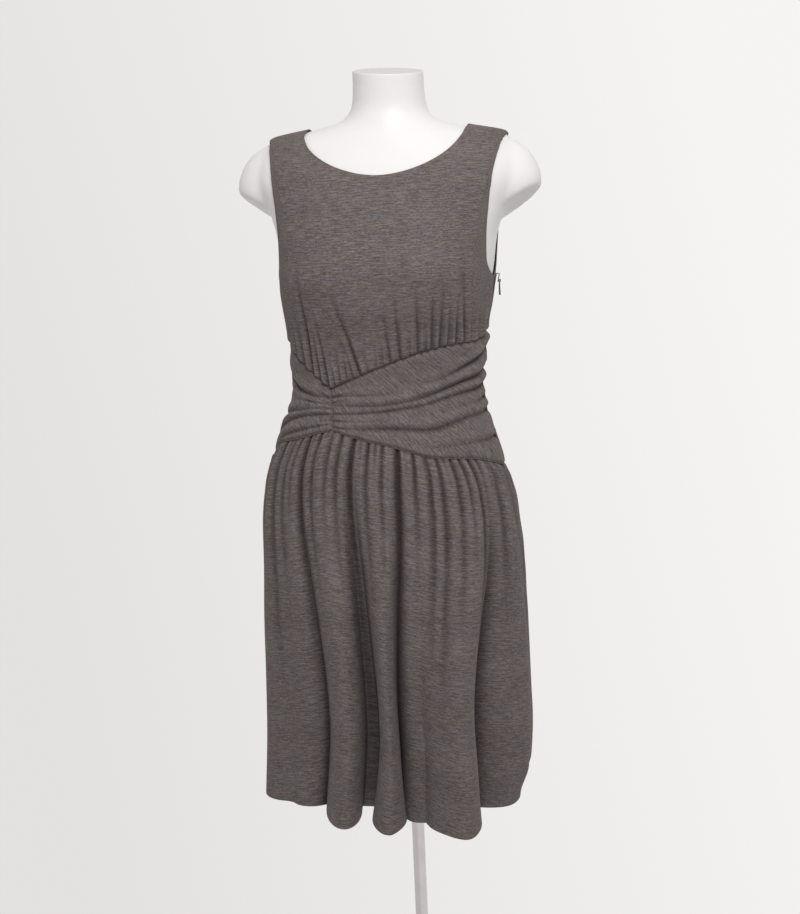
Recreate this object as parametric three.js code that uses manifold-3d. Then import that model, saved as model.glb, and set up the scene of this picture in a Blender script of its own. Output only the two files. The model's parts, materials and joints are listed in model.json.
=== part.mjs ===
// A sleeveless knitted dress standing on a limbless dress form.
// Millimetres, +Z up. The origin is the middle of the base plate's underside, on the axis of the pole.
// The dress faces -Y. "left" and "right" in names are the wearer's: the wearer's left is +X.
import * as THREE from 'three';
import { mergeVertices } from 'three/addons/utils/BufferGeometryUtils.js';
import Module from 'manifold-3d';

const wasm = await Module();
wasm.setup();

// ---------------------------------------------------------------- driving dimensions
const CLOTH = 1.6;            // thickness of the knit
const SEAM = 0.4;             // gap left between two pieces at a seam
const EASE = 3.15;            // air between the form and the cloth that lies on it
const LEAN = 0.012;           // the form leans sideways: fall in z for each unit of +X
const HEM_Z = 474;            // lowest edge of the skirt
const HEM_LIFT = 9;           // how much higher the hem is in the valleys between folds
const UNDERARM_Z = 1205;
const FLARE = { rise: 8, top: 1045, bottom: 955 };
const NECK_TILT = Math.tan(THREE.MathUtils.degToRad(11));

const POLE_RADIUS = 9;
const RUNNING_GAP = 0.3;
const BASE = { radius: 170, thickness: 8, edge: 3 };
const COLLAR = { radius: 22, height: 34 };
const SOCKET = { radius: 18, flange: 42, height: 36, flangeHeight: 5 };

const SIDES = { front: -1, back: 1 };

// Level sections through the form: half width across, depth in front of and behind the middle,
// and the power of the superellipse that rounds the section (2 is an ellipse).
const SECTION_COLUMNS = ['z', 'cx', 'cy', 'half', 'front', 'back', 'power'];
const FORM_SECTIONS = [
  [800, -14, -32, 162, 102, 112, 2.2],
  [880, -16, -30, 160, 100, 114, 2.2],
  [940, -18, -26, 152, 95, 106, 2.2],
  [1000, -16, -20, 137, 90, 95, 2.2],
  [1060, -13, -14, 126, 87, 84, 2.2],
  [1130, -10, -9, 131, 97, 90, 2.3],
  [1170, -9, -6, 138, 108, 95, 2.4],
  [1215, -8, -2, 145, 114, 98, 2.5],
  [1260, -7, 2, 150, 109, 97, 2.5],
  [1300, -6, 7, 163, 99, 93, 2.4],
  [1345, -5, 13, 182, 85, 85, 2.4],
  [1380, -4, 17, 176, 71, 75, 2.1],
  [1396, -3, 18, 161, 66, 67, 1.7],
  [1407, -2, 18, 110, 61, 61, 1.7],
  [1418, -1, 18, 68, 58, 57, 1.9],
  [1424, -1, 18, 59, 56, 55, 2],
  [1432, 0, 17, 53, 53, 53, 2],
  [1450, 1, 14, 49.5, 50, 50, 2],
  [1484, 1.7, 10, 48, 49, 49, 2],
];

// The same for the valleys of the skirt, once it hangs free of the form.
const SKIRT_SECTIONS = [
  [474, -24, -32, 174, 70, 90, 2.8],
  [600, -15, -32, 177, 90, 104, 2.5],
  [700, -14.5, -32, 177, 105, 115, 2.3],
  [800, -14, -32, 175, 113, 121, 2.2],
  [880, -16, -30, 171, 109, 122, 2.2],
  [940, -18, -26, 161, 102, 113, 2.2],
  [1012, -16, -18, 140, 95, 95, 2.2],
];

// Heights of the two seams of the midriff band, by turn about the body in degrees: 0 is the middle
// of the front, -90 and 90 are the side seams. The two front pieces meet where the turn is that of V.
const V_TURN = { top: -28, bottom: -24 };
const BAND_TOP = {
  right: [[-90, 1131], [-66, 1111], [-48, 1090], [-28, 1062]],
  left: [[-28, 1062], [-8, 1081], [10, 1100], [25, 1111], [45, 1118], [70, 1120], [90, 1131]],
};
const BAND_BOTTOM = {
  right: [[-90, 968], [-78, 984], [-50, 995], [-24, 1010]],
  left: [[-24, 1010], [-5, 996], [11, 985], [29, 972], [55, 966], [77, 955], [90, 948]],
};
const BACK_SEAMS = {
  top: [[-90, 1131], [0, 1124], [90, 1131]],
  bottom: [[-90, 968], [0, 957], [90, 948]],
};

// Half widths of the armhole edges, measured from the middle of the section.
const ARMHOLE_COLUMNS = ['z', 'front', 'back'];
const ARMHOLE = [
  [1205, 143.6, 143.6],
  [1215, 141, 144],
  [1232, 138.5, 145],
  [1260, 139, 146],
  [1308, 143.5, 149],
  [1345, 149, 153],
  [1376, 155.5, 157],
  [1396, 161, 161],
];
const SHOULDER = { tip: 1396, neck: 1407 };
const NECKLINE = {
  front: { low: 1343.5, power: 1.8 },
  back: { low: 1388, power: 2 },
};

// Fold lines of the skirt: each row is a valley, with its turn at the band and at the hem, its own
// height above the valley surface at the hem, the height at the hem of the ridge after it, and how
// far that ridge leans towards +X there.
const FOLD_COLUMNS = ['top', 'hem', 'rise', 'ridge', 'lean'];
const FRONT_FOLDS = [
  [-90, -90, 2, 10, 0],
  [-53, -44, 2, 12, 0],
  [-36, -22, 0, 70, 18],
  [-11, -6.2, 0, 0, 0],
  [-8, -1.8, 0, 84, 10],
  [9.5, 2.5, 0, 45, 3],
  [24, 15, 66, 97, 13],
  [57, 33.5, 0, 12, 4],
  [90, 90, 3, 0, 0],
];
const BACK_FOLDS = [
  [-90, -90, 4, 14, 0],
  [-54, -46, 0, 48, -8],
  [-26, -20, 0, 58, 6],
  [2, 3, 4, 60, -6],
  [30, 26, 0, 50, 8],
  [58, 52, 0, 12, 0],
  [90, 90, 3, 0, 0],
];
const FOLD_GROWTH = 1.35;     // how the folds deepen from the band to the hem
const FOLD_BULGE = 0.05;      // how far a fold swells over the valleys beside it
const STANDOFF = 1.9;         // how far the straps and armhole edges stand off beyond the ease
const GATHER = 2.2;           // height of the gathers where the cloth meets the band
const DRAPE = 3;              // height of the soft folds that run along the band

const STEPS = { bodice: 12, band: 6, skirt: 7, perFold: 6, formRing: 40 };
const EDGE_STEPS = {
  front: { armhole: 9, shoulder: 4, neckline: 11 },
  back: { armhole: 7, shoulder: 4, neckline: 7 },
};
const COLUMN_BEND = 2.1;      // columns of the bodice rise upright, then bend out to the upper edge
const CORNER_BULGE = { neck: 10, tip: 6, power: 12, peak: 8.2, neckSpread: 2.2, tipSpread: 1.6 };
const V_STEP = 14;            // step across the front at which the two band pieces meet

// The closed zip lies behind the side seam at the wearer's left. Its slider reaches over the cloth
// at the underarm to a loop outside, and the pull tab hangs in the loop.
const ZIP = { bottom: 905, top: 1188, width: 11, tape: 0.8, room: 1.9, spread: 9, slack: 0.6 };
const SLIDER = {
  width: 6, neck: 3, loop: 2, wall: 1, behind: 0.9, outside: 0.4, over: 2.4, drop: 12, arm: 8, hole: 2,
};
const PULL = { length: 16, top: 5.6, tip: 3.6, thick: 1.2, eye: 3.3, leg: 1, play: 0.4 };

const COLOURS = {
  knit: 0x6f6763, form: 0xe9e7e3, chrome: 0xc9ccd0, base: 0xe4e4e4, zip: 0x2c2b2d, slider: 0x3a393c,
};

// ---------------------------------------------------------------- small helpers
const { degToRad, lerp, clamp, smoothstep } = THREE.MathUtils;

/** Monotone cubic through the points (xs, ys): it never overshoots them. */
function smoothCurve(xs, ys) {
  const spans = xs.slice(1).map((x, i) => x - xs[i]);
  const slopes = spans.map((h, i) => (ys[i + 1] - ys[i]) / h);
  const tangents = xs.map((_, i) => {
    if (i === 0) return slopes[0];
    if (i === xs.length - 1) return slopes[i - 1];
    if (slopes[i - 1] * slopes[i] <= 0) return 0;
    const before = 2 * spans[i] + spans[i - 1];
    const after = spans[i] + 2 * spans[i - 1];
    return (before + after) / (before / slopes[i - 1] + after / slopes[i]);
  });
  return (x) => {
    const t = clamp(x, xs[0], xs[xs.length - 1]);
    let i = 0;
    while (i < spans.length - 1 && t > xs[i + 1]) i += 1;
    const s = (t - xs[i]) / spans[i];
    const rise = s * s * (3 - 2 * s);
    const start = s * (1 - s) * (1 - s) * spans[i] * tangents[i];
    const end = s * s * (s - 1) * spans[i] * tangents[i + 1];
    return ys[i] + (ys[i + 1] - ys[i]) * rise + start + end;
  };
}

/** One smooth curve for each named column of a table, all against its first column. */
function curvesOf(columns, rows) {
  const curves = {};
  columns.slice(1).forEach((name, k) => {
    curves[name] = smoothCurve(rows.map((row) => row[0]), rows.map((row) => row[k + 1]));
  });
  return curves;
}

const curveOf = (pairs) => smoothCurve(pairs.map((pair) => pair[0]), pairs.map((pair) => pair[1]));
const rowOf = (columns, row) => Object.fromEntries(columns.map((name, k) => [name, row[k]]));
const rowsOf = (columns, rows) => rows.map((row) => rowOf(columns, row));

const formCurves = curvesOf(SECTION_COLUMNS, FORM_SECTIONS);
const skirtCurves = curvesOf(SECTION_COLUMNS, SKIRT_SECTIONS);
const armhole = curvesOf(ARMHOLE_COLUMNS, ARMHOLE);

function sectionAt(curves, z) {
  const section = {};
  for (const name of SECTION_COLUMNS.slice(1)) section[name] = curves[name](z);
  return section;
}

/** Point of a section at a turn in degrees from the middle of its front (or back) half. */
function pointOfSection(section, turn, side) {
  const across = Math.abs(Math.sin(degToRad(turn))) ** (2 / section.power);
  const deep = Math.abs(Math.cos(degToRad(turn))) ** (2 / section.power);
  const depth = side === SIDES.front ? section.front : section.back;
  const reach = Math.sign(turn) * across * section.half;
  return { reach, y: section.cy + side * deep * depth };
}

/** The turn at which a section reaches a given half width. */
function turnOfReach(section, reach) {
  const across = clamp(Math.abs(reach) / section.half, 0, 1);
  return Math.sign(reach) * THREE.MathUtils.radToDeg(Math.asin(across ** (section.power / 2)));
}

/** Swell of the bust over the plain section, at a place on the front. */
function bustSwell(reach, z) {
  const level = Math.exp(-(((z - 1218) / 44) ** 2));
  const sides = [-1, 1].map((hand) => Math.exp(-(((reach - hand * 64) / 46) ** 2)));
  return 9 * level * Math.max(...sides, 0.72 * (sides[0] + sides[1]));
}

function formPoint(turn, z, side) {
  const section = sectionAt(formCurves, z);
  const { reach, y } = pointOfSection(section, turn, side);
  const swell = side === SIDES.front ? bustSwell(reach, z) : 0;
  return new THREE.Vector3(section.cx + reach, y - swell, z - LEAN * reach);
}

// ---------------------------------------------------------------- meshes from grids and rings
/** A closed mesh from vertices and faces; quads are given as four indices. */
function meshGeometry(points, faces) {
  const index = [];
  for (const face of faces) {
    index.push(face[0], face[1], face[2]);
    if (face.length === 4) index.push(face[0], face[2], face[3]);
  }
  const geometry = new THREE.BufferGeometry();
  const coordinates = points.flatMap((p) => [p.x, p.y, p.z]);
  geometry.setAttribute('position', new THREE.Float32BufferAttribute(coordinates, 3));
  geometry.setIndex(index);
  return geometry;
}

/** Mean direction of the faces round each point of a grid, with the stretch that keeps the wall even. */
function gridNormals(grid) {
  const rows = grid.length;
  const columns = grid[0].length;
  const normals = grid.map((row) => row.map(() => new THREE.Vector3()));
  const counts = grid.map((row) => row.map(() => 0));
  for (let r = 0; r < rows - 1; r += 1) {
    for (let c = 0; c < columns - 1; c += 1) {
      const up = grid[r + 1][c + 1].clone().sub(grid[r][c]);
      const over = grid[r][c + 1].clone().sub(grid[r + 1][c]);
      const normal = over.cross(up).normalize();
      for (const [i, j] of [[r, c], [r + 1, c], [r, c + 1], [r + 1, c + 1]]) {
        normals[i][j].add(normal);
        counts[i][j] += 1;
      }
    }
  }
  return normals.map((row, r) => row.map((normal, c) => {
    const evenness = Math.max(normal.length() / counts[r][c], 0.45);
    return normal.normalize().divideScalar(evenness);
  }));
}

/**
 * Outward normals of a panel. Where its edge meets another piece the normal is one that both share:
 * level at a seam round the body, sideways at a side seam, upright over the shoulder.
 */
function panelNormals(grid, side, seams) {
  const normals = gridNormals(grid);
  if (side === SIDES.back) normals.forEach((row) => row.forEach((normal) => normal.negate()));
  const flatten = (normal, x, y, z) => normal.multiply(new THREE.Vector3(x, y, z)).normalize();
  const last = normals.length - 1;
  if (seams.bottom) normals[0].forEach((normal) => flatten(normal, 1, 1, 0));
  if (seams.top) normals[last].forEach((normal) => flatten(normal, 1, 1, 0));
  if (seams.shoulder) normals[last].forEach((normal, c) => seams.shoulder(c) && flatten(normal, 1, 0, 1));
  normals.forEach((row) => [row[0], row[row.length - 1]].forEach((normal) => flatten(normal, 1, 0, 0)));
  return normals;
}

/** A wall of cloth on a grid of points: grid[row][column], columns running to +X on the front. */
function clothShell(grid, normals, side, thickness = CLOTH) {
  const rows = grid.length;
  const columns = grid[0].length;
  const points = [];
  for (const offset of [thickness / 2, -thickness / 2]) {
    const shifted = (p, r, c) => p.clone().addScaledVector(normals[r][c], offset);
    grid.forEach((row, r) => row.forEach((p, c) => points.push(shifted(p, r, c))));
  }
  const outer = (r, c) => r * columns + c;
  const inner = (r, c) => rows * columns + outer(r, c);
  const faces = [];
  for (let r = 0; r < rows - 1; r += 1) {
    for (let c = 0; c < columns - 1; c += 1) {
      faces.push([outer(r, c), outer(r, c + 1), outer(r + 1, c + 1), outer(r + 1, c)]);
      faces.push([inner(r, c), inner(r + 1, c), inner(r + 1, c + 1), inner(r, c + 1)]);
    }
  }
  const rim = (a, b) => faces.push([outer(...a), inner(...a), inner(...b), outer(...b)]);
  for (let c = 0; c < columns - 1; c += 1) {
    rim([0, c], [0, c + 1]);
    rim([rows - 1, c + 1], [rows - 1, c]);
  }
  for (let r = 0; r < rows - 1; r += 1) {
    rim([r + 1, 0], [r, 0]);
    rim([r, columns - 1], [r + 1, columns - 1]);
  }
  if (side === SIDES.back) faces.forEach((face) => face.reverse());
  return meshGeometry(points, faces);
}

/** Pulls the edge points of a grid a little way in, so that neighbours leave the seam gap. */
function drawInEdges(grid) {
  const rows = grid.length;
  const columns = grid[0].length;
  const moved = grid.map((row) => row.map((p) => p.clone()));
  const pull = (r, c, towards) => {
    const inwards = towards.clone().sub(grid[r][c]).normalize();
    moved[r][c].addScaledVector(inwards, SEAM / 2);
  };
  for (let c = 0; c < columns; c += 1) {
    pull(0, c, grid[1][c]);
    pull(rows - 1, c, grid[rows - 2][c]);
  }
  for (let r = 0; r < rows; r += 1) {
    pull(r, 0, grid[r][1]);
    pull(r, columns - 1, grid[r][columns - 2]);
  }
  return moved;
}

/** A solid skinned over closed rings with equal numbers of points, closed by flat ends. */
function ringSolid(rings) {
  const count = rings[0].length;
  const points = rings.flat();
  const faces = [];
  for (let k = 0; k < rings.length - 1; k += 1) {
    for (let i = 0; i < count; i += 1) {
      const j = (i + 1) % count;
      faces.push([k * count + i, k * count + j, (k + 1) * count + j, (k + 1) * count + i]);
    }
  }
  const last = (rings.length - 1) * count;
  for (let i = 1; i < count - 1; i += 1) {
    faces.push([0, i + 1, i]);
    faces.push([last, last + i, last + i + 1]);
  }
  return meshGeometry(points, faces);
}

function toManifold(geometry) {
  const plain = geometry.clone();
  plain.deleteAttribute('normal');
  plain.deleteAttribute('uv');
  const merged = mergeVertices(plain, 1e-3);
  return new wasm.Manifold(new wasm.Mesh({
    numProp: 3,
    vertProperties: new Float32Array(merged.attributes.position.array),
    triVerts: new Uint32Array(merged.index.array),
  }));
}

function fromManifold(solid) {
  const mesh = solid.getMesh();
  const geometry = new THREE.BufferGeometry();
  geometry.setAttribute('position', new THREE.BufferAttribute(new Float32Array(mesh.vertProperties), 3));
  geometry.setIndex(new THREE.BufferAttribute(new Uint32Array(mesh.triVerts), 1));
  return geometry;
}

// ---------------------------------------------------------------- cloth panels
/** For each point of a path, the share of the path's length that lies before it. */
function sharesAlong(path) {
  const lengths = [0];
  for (let i = 1; i < path.length; i += 1) lengths.push(lengths[i - 1] + path[i].distanceTo(path[i - 1]));
  return lengths.map((length) => length / lengths[path.length - 1]);
}

/** Points on a dense path at the given shares of its length. */
function spreadAlong(path, shares) {
  const before = sharesAlong(path);
  let i = 1;
  return shares.map((share) => {
    while (i < path.length - 1 && before[i] < share) i += 1;
    const t = (share - before[i - 1]) / (before[i] - before[i - 1]);
    return path[i - 1].clone().lerp(path[i], clamp(t, 0, 1));
  });
}

const evenShares = (steps) => Array.from({ length: steps + 1 }, (_, i) => i / steps);
/** Shares that crowd towards both ends, by `crowding` from 0 to 1, and more so at the last. */
const crowdedShares = (steps, crowding) => evenShares(steps).map((t) => {
  const both = t - (crowding * Math.sin(2 * Math.PI * t)) / (2 * Math.PI);
  return 1 - (1 - both) ** 1.25;
});

/** Extra room between form and cloth for the zip, near the seam at the wearer's left side. */
function zipRoom(point) {
  const section = sectionAt(formCurves, point.z);
  const beside = Math.exp(-(((point.y - section.cy) / ZIP.spread) ** 2));
  return point.x > 0 ? ZIP.room * beside : 0;
}

/** How far the gathers of the skirt push the band out, towards its lower edge. */
const flare = (z) => FLARE.rise * smoothstep(FLARE.top - z, 0, FLARE.top - FLARE.bottom);

/** Moves the points of a grid off the form by the air under the cloth and half its thickness. */
function liftOffForm(grid, side, seams, rise) {
  const normals = panelNormals(grid, side, seams);
  return grid.map((row, r) => row.map((p, c) => {
    const normal = normals[r][c].clone().normalize();
    return p.clone().addScaledVector(normal, EASE + CLOTH / 2 + flare(p.z) + zipRoom(p) + rise(r, c));
  }));
}

/** The three stretches of a bodice panel's upper edge, from the side seam to the middle. */
const EDGE_STRETCHES = {
  armhole: (t, sideName) => along(lerp(UNDERARM_Z, SHOULDER.tip, t), armhole[sideName]),
  shoulder: (t) => along(lerp(SHOULDER.tip, SHOULDER.neck, t), formCurves.half),
  neckline: scoop,
};

function along(z, reachAt) {
  return { reach: reachAt(z), z };
}

/** The scooped neckline: part of a superellipse from the shoulder down to the middle. */
function scoop(t, sideName) {
  const { low, power } = NECKLINE[sideName];
  const swing = degToRad(90 * (1 - t));
  return {
    reach: formCurves.half(SHOULDER.neck) * Math.sin(swing) ** (2 / power),
    z: lerp(SHOULDER.neck, low, Math.abs(Math.cos(swing)) ** (2 / power)),
  };
}

/** The upper edge as { reach, z } at each step, evenly spread along the cloth in each stretch. */
function upperEdge(sideName) {
  const edge = [];
  for (const [stretch, at] of Object.entries(EDGE_STRETCHES)) {
    const steps = EDGE_STEPS[sideName][stretch];
    const dense = evenShares(200).map((t) => at(t, sideName));
    const path = dense.map(({ reach, z }) => {
      const turn = turnOfReach(sectionAt(formCurves, z), reach);
      return formPoint(turn, z, SIDES[sideName]);
    });
    const shares = sharesAlong(path);
    for (let k = edge.length ? 1 : 0; k <= steps; k += 1) {
      edge.push(dense[shares.findIndex((share) => share >= k / steps - 1e-9)]);
    }
  }
  return edge;
}

/** Pushes columns away from the two corners of a strap, so that they do not crowd along its edges. */
function cornerBulge(step, t, steps) {
  const { neck, tip, power, peak, neckSpread, tipSpread } = CORNER_BULGE;
  const fromNeck = Math.exp(-(((step - steps.armhole - steps.shoulder) / neckSpread) ** 2)) * neck;
  const fromTip = Math.exp(-(((step - steps.armhole) / tipSpread) ** 2)) * tip;
  return (fromNeck - fromTip) * t ** power * Math.sqrt(1 - t) * peak;
}

/** One column of a bodice panel on the form, from the band seam to the upper edge. */
function bodiceColumn(hand, step, edge, turn, seamZ, sideName) {
  const side = SIDES[sideName];
  const startReach = pointOfSection(sectionAt(formCurves, seamZ), turn, side).reach;
  const path = evenShares(160).map((t) => {
    const z = lerp(seamZ, edge.z, t);
    const section = sectionAt(formCurves, z);
    const bulge = cornerBulge(step, t, EDGE_STEPS[sideName]);
    const rising = lerp(startReach, hand * edge.reach, t ** COLUMN_BEND) + hand * bulge;
    const hugging = hand * section.half;
    const reach = step === 0 ? hugging : clamp(rising, -section.half, section.half);
    return formPoint(turnOfReach(section, reach), z, side);
  });
  return spreadAlong(path, crowdedShares(STEPS.bodice, 0.4));
}

const columnsToRows = (columns) => columns[0].map((_, r) => columns.map((column) => column[r]));

/** Turns spread evenly across a panel, with an exact turn at the step where the band pieces meet. */
function frontTurns(count, meeting) {
  return Array.from({ length: count + 1 }, (_, c) => (c <= V_STEP
    ? lerp(-90, meeting, c / V_STEP)
    : lerp(meeting, 90, (c - V_STEP) / (count - V_STEP))));
}

/** Turns of the columns of the skirt: a fixed number of steps for each fold. */
function foldTurns(folds, key) {
  const turns = [];
  for (let i = 0; i < folds.length - 1; i += 1) {
    for (let k = 0; k < STEPS.perFold; k += 1) {
      turns.push(lerp(folds[i][key], folds[i + 1][key], k / STEPS.perFold));
    }
  }
  turns.push(folds[folds.length - 1][key]);
  return turns;
}

const bandTopCurves = {
  right: curveOf(BAND_TOP.right),
  left: curveOf(BAND_TOP.left),
  back: curveOf(BACK_SEAMS.top),
};
const bandBottomCurves = {
  right: curveOf(BAND_BOTTOM.right),
  left: curveOf(BAND_BOTTOM.left),
  back: curveOf(BACK_SEAMS.bottom),
};
const seamHeight = (curves, turn, meeting, sideName) => {
  if (sideName === 'back') return curves.back(turn);
  return turn <= meeting ? curves.right(turn) : curves.left(turn);
};

const skirtFolds = { front: rowsOf(FOLD_COLUMNS, FRONT_FOLDS), back: rowsOf(FOLD_COLUMNS, BACK_FOLDS) };

/** Turns of the columns where they cross the upper and the lower seam of the band. */
function seamTurns(sideName) {
  const bottom = foldTurns(skirtFolds[sideName], 'top');
  const count = bottom.length - 1;
  const evenTurns = evenShares(count).map((t) => lerp(-90, 90, t));
  const top = sideName === 'front' ? frontTurns(count, V_TURN.top) : evenTurns;
  return { top, bottom };
}

/** Steps in from the nearer side seam, for each column of a panel. */
const stepIn = (c, count) => Math.min(c, count - c);

function bodiceSeams(sideName, count) {
  const { armhole: first, shoulder } = EDGE_STEPS[sideName];
  const isShoulder = (c) => stepIn(c, count) >= first && stepIn(c, count) <= first + shoulder;
  return { bottom: true, shoulder: isShoulder };
}

function bodiceGrid(sideName) {
  const turns = seamTurns(sideName).top;
  const count = turns.length - 1;
  const edge = upperEdge(sideName);
  const columns = turns.map((turn, c) => {
    const seamZ = seamHeight(bandTopCurves, turn, V_TURN.top, sideName);
    const step = stepIn(c, count);
    return bodiceColumn(c === step ? -1 : 1, step, edge[step], turn, seamZ, sideName);
  });
  const strapEnd = EDGE_STEPS[sideName].armhole + EDGE_STEPS[sideName].shoulder;
  const gathered = (c) => c % 2 === 1 && stepIn(c, count) > 2;
  const gather = (r, c) => (gathered(c) ? GATHER * Math.max(1 - r / 4, 0) : 0);
  const atStrap = (r, c) => {
    const outer = 1 - smoothstep(stepIn(c, count), strapEnd + 1, strapEnd + 5);
    return STANDOFF * outer * smoothstep(r / STEPS.bodice, 0.4, 0.8);
  };
  const seams = bodiceSeams(sideName, count);
  const rise = (r, c) => gather(r, c) + atStrap(r, c);
  return liftOffForm(columnsToRows(columns), SIDES[sideName], seams, rise);
}

function bodicePanel(sideName) {
  const grid = grids[sideName].bodice;
  const normals = panelNormals(grid, SIDES[sideName], bodiceSeams(sideName, grid[0].length - 1));
  return clothShell(drawInEdges(grid), normals, SIDES[sideName]);
}

const BAND_SEAMS = { bottom: true, top: true };

/** The grid of the whole band on one side, from its lower seam to its upper seam. */
function bandGrid(sideName) {
  const side = SIDES[sideName];
  const turns = seamTurns(sideName);
  const columns = turns.top.map((topTurn, c) => {
    const bottomTurn = turns.bottom[c];
    const low = seamHeight(bandBottomCurves, bottomTurn, V_TURN.bottom, sideName);
    const high = seamHeight(bandTopCurves, topTurn, V_TURN.top, sideName);
    const place = (t) => formPoint(lerp(bottomTurn, topTurn, t), lerp(low, high, t), side);
    return evenShares(STEPS.band).map(place);
  });
  return liftOffForm(columnsToRows(columns), side, BAND_SEAMS, (r) => (r % 2 === 1 ? DRAPE : 0));
}

function bandPiece(sideName, firstColumn, lastColumn) {
  const cut = (rows) => rows.map((row) => row.slice(firstColumn, lastColumn + 1));
  const grid = grids[sideName].band;
  const normals = panelNormals(grid, SIDES[sideName], BAND_SEAMS);
  return clothShell(drawInEdges(cut(grid)), cut(normals), SIDES[sideName]);
}

/** Height and sideways lean of the skirt's cloth over its valley surface, part of the way down. */
function foldShape(folds, column, down) {
  const i = Math.min(Math.floor(column / STEPS.perFold), folds.length - 2);
  const across = column / STEPS.perFold - i;
  const deep = down ** FOLD_GROWTH;
  const arch = Math.sin(Math.PI * across);
  const floor = lerp(folds[i].rise, folds[i + 1].rise, across);
  const crest = Math.max(folds[i].ridge - floor, 0) * arch;
  const width = folds[i + 1].hem - folds[i].hem;
  return {
    height: deep * (floor + crest),
    lean: deep * folds[i].lean * arch,
    swell: -Math.sin(2 * Math.PI * across) * FOLD_BULGE * deep * width,
  };
}

/** One column of the skirt, from the band seam to the hem. */
function skirtColumn(column, seamPoint, seamZ, folds, turns, side) {
  return evenShares(STEPS.skirt).map((t) => {
    if (t === 0) return seamPoint.clone();
    const down = t ** 1.25;
    const { height, lean, swell } = foldShape(folds, column, down);
    const settled = lerp(turns.top[column], turns.hem[column], smoothstep(down, 0, 0.8));
    const turn = clamp(settled + swell, -90, 90);
    const z = lerp(seamZ, HEM_Z, down);
    const section = sectionAt(skirtCurves, z);
    const base = pointOfSection(section, turn, side);
    const ahead = pointOfSection(section, turn + (turn > 0 ? -1 : 1), side);
    const normal = new THREE.Vector3(ahead.y - base.y, base.reach - ahead.reach, 0).normalize();
    if (normal.y * side < 0) normal.negate();
    if (Math.abs(turn) === 90) normal.set(Math.sign(turn), 0, 0);
    const lift = HEM_LIFT * down ** 4 * (1 - Math.min(height / 60, 1));
    const point = new THREE.Vector3(section.cx + base.reach + lean, base.y, z - LEAN * base.reach + lift);
    return point.addScaledVector(normal, height + EASE + CLOTH / 2);
  });
}

/** The grid of a skirt panel, from the hem up to the band seam. */
function skirtGrid(sideName, seamRow) {
  const folds = skirtFolds[sideName];
  const turns = { top: foldTurns(folds, 'top'), hem: foldTurns(folds, 'hem') };
  const columns = turns.top.map((turn, c) => {
    const seamZ = seamHeight(bandBottomCurves, turn, V_TURN.bottom, sideName);
    return skirtColumn(c, seamRow[c], seamZ, folds, turns, SIDES[sideName]);
  });
  return columnsToRows(columns).reverse();
}

function skirtPanel(sideName) {
  const grid = grids[sideName].skirt;
  return clothShell(drawInEdges(grid), panelNormals(grid, SIDES[sideName], { top: true }), SIDES[sideName]);
}

function panelGrids(sideName) {
  const band = bandGrid(sideName);
  return { band, bodice: bodiceGrid(sideName), skirt: skirtGrid(sideName, band[0]) };
}

const grids = { front: panelGrids('front'), back: panelGrids('back') };

// ---------------------------------------------------------------- zip
/** Rows of three points across the side seam at the wearer's left: a little in front, on it, and behind. */
function seamStrip(halfWidth) {
  const rowsUp = ({ skirt, band, bodice }) => [...skirt.slice(0, -1), ...band.slice(0, -1), ...bodice];
  const behind = rowsUp(grids.back);
  return rowsUp(grids.front).map((row, r) => {
    const seam = row[row.length - 1];
    const beside = (panelRow) => {
      const next = panelRow[panelRow.length - 2];
      return seam.clone().lerp(next, halfWidth / seam.distanceTo(next));
    };
    return [beside(row), seam, beside(behind[r])];
  });
}

/** The strip between two heights, with its end rows cut level. */
function cutStrip(strip, low, high) {
  const rowAt = (z) => {
    const above = strip.findIndex((row) => row[1].z >= z);
    const [a, b] = [strip[above - 1], strip[above]];
    return a.map((p, c) => p.clone().lerp(b[c], (z - a[1].z) / (b[1].z - a[1].z)));
  };
  const between = strip.filter((row) => row[1].z > low + 3 && row[1].z < high - 3);
  return [rowAt(low), ...between, rowAt(high)];
}

function zipChain() {
  const strip = cutStrip(seamStrip(ZIP.width / 2), ZIP.bottom, ZIP.top);
  const normals = gridNormals(strip);
  const inwards = CLOTH / 2 + ZIP.slack + ZIP.tape / 2;
  const grid = strip.map((row, r) => row.map((p, c) => p.clone().addScaledVector(normals[r][c], -inwards)));
  return clothShell(grid, normals, SIDES.front, ZIP.tape);
}

/** The frame of the slider: the top of the side seam, up along the seam, and out from the cloth. */
function sliderFrame() {
  const strip = seamStrip(SLIDER.width / 2);
  const top = strip[strip.length - 1][1];
  const foot = cutStrip(strip, top.z - SLIDER.drop, top.z)[0][1];
  const up = top.clone().sub(foot).setY(0).normalize();
  return { top, up, out: new THREE.Vector3(up.z, 0, -up.x) };
}

/** A block from its limits outwards, its half width and its limits upwards, in the slider's frame. */
function blockOn({ top, up, out }, [inner, outer], halfWidth, [low, high]) {
  const box = new THREE.BoxGeometry(outer - inner, 2 * halfWidth, high - low);
  box.translate((inner + outer) / 2, 0, (low + high) / 2);
  box.applyMatrix4(new THREE.Matrix4().makeBasis(out, new THREE.Vector3(0, 1, 0), up).setPosition(top));
  return toManifold(box);
}

/** Distances outwards from the middle of the cloth that the slider and its pull share. */
const ARM_FACE = CLOTH / 2 + SLIDER.outside + SLIDER.wall;
const HINGE = { out: ARM_FACE + SLIDER.hole / 2, up: SLIDER.wall + SLIDER.hole / 2 - SLIDER.arm };

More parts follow.
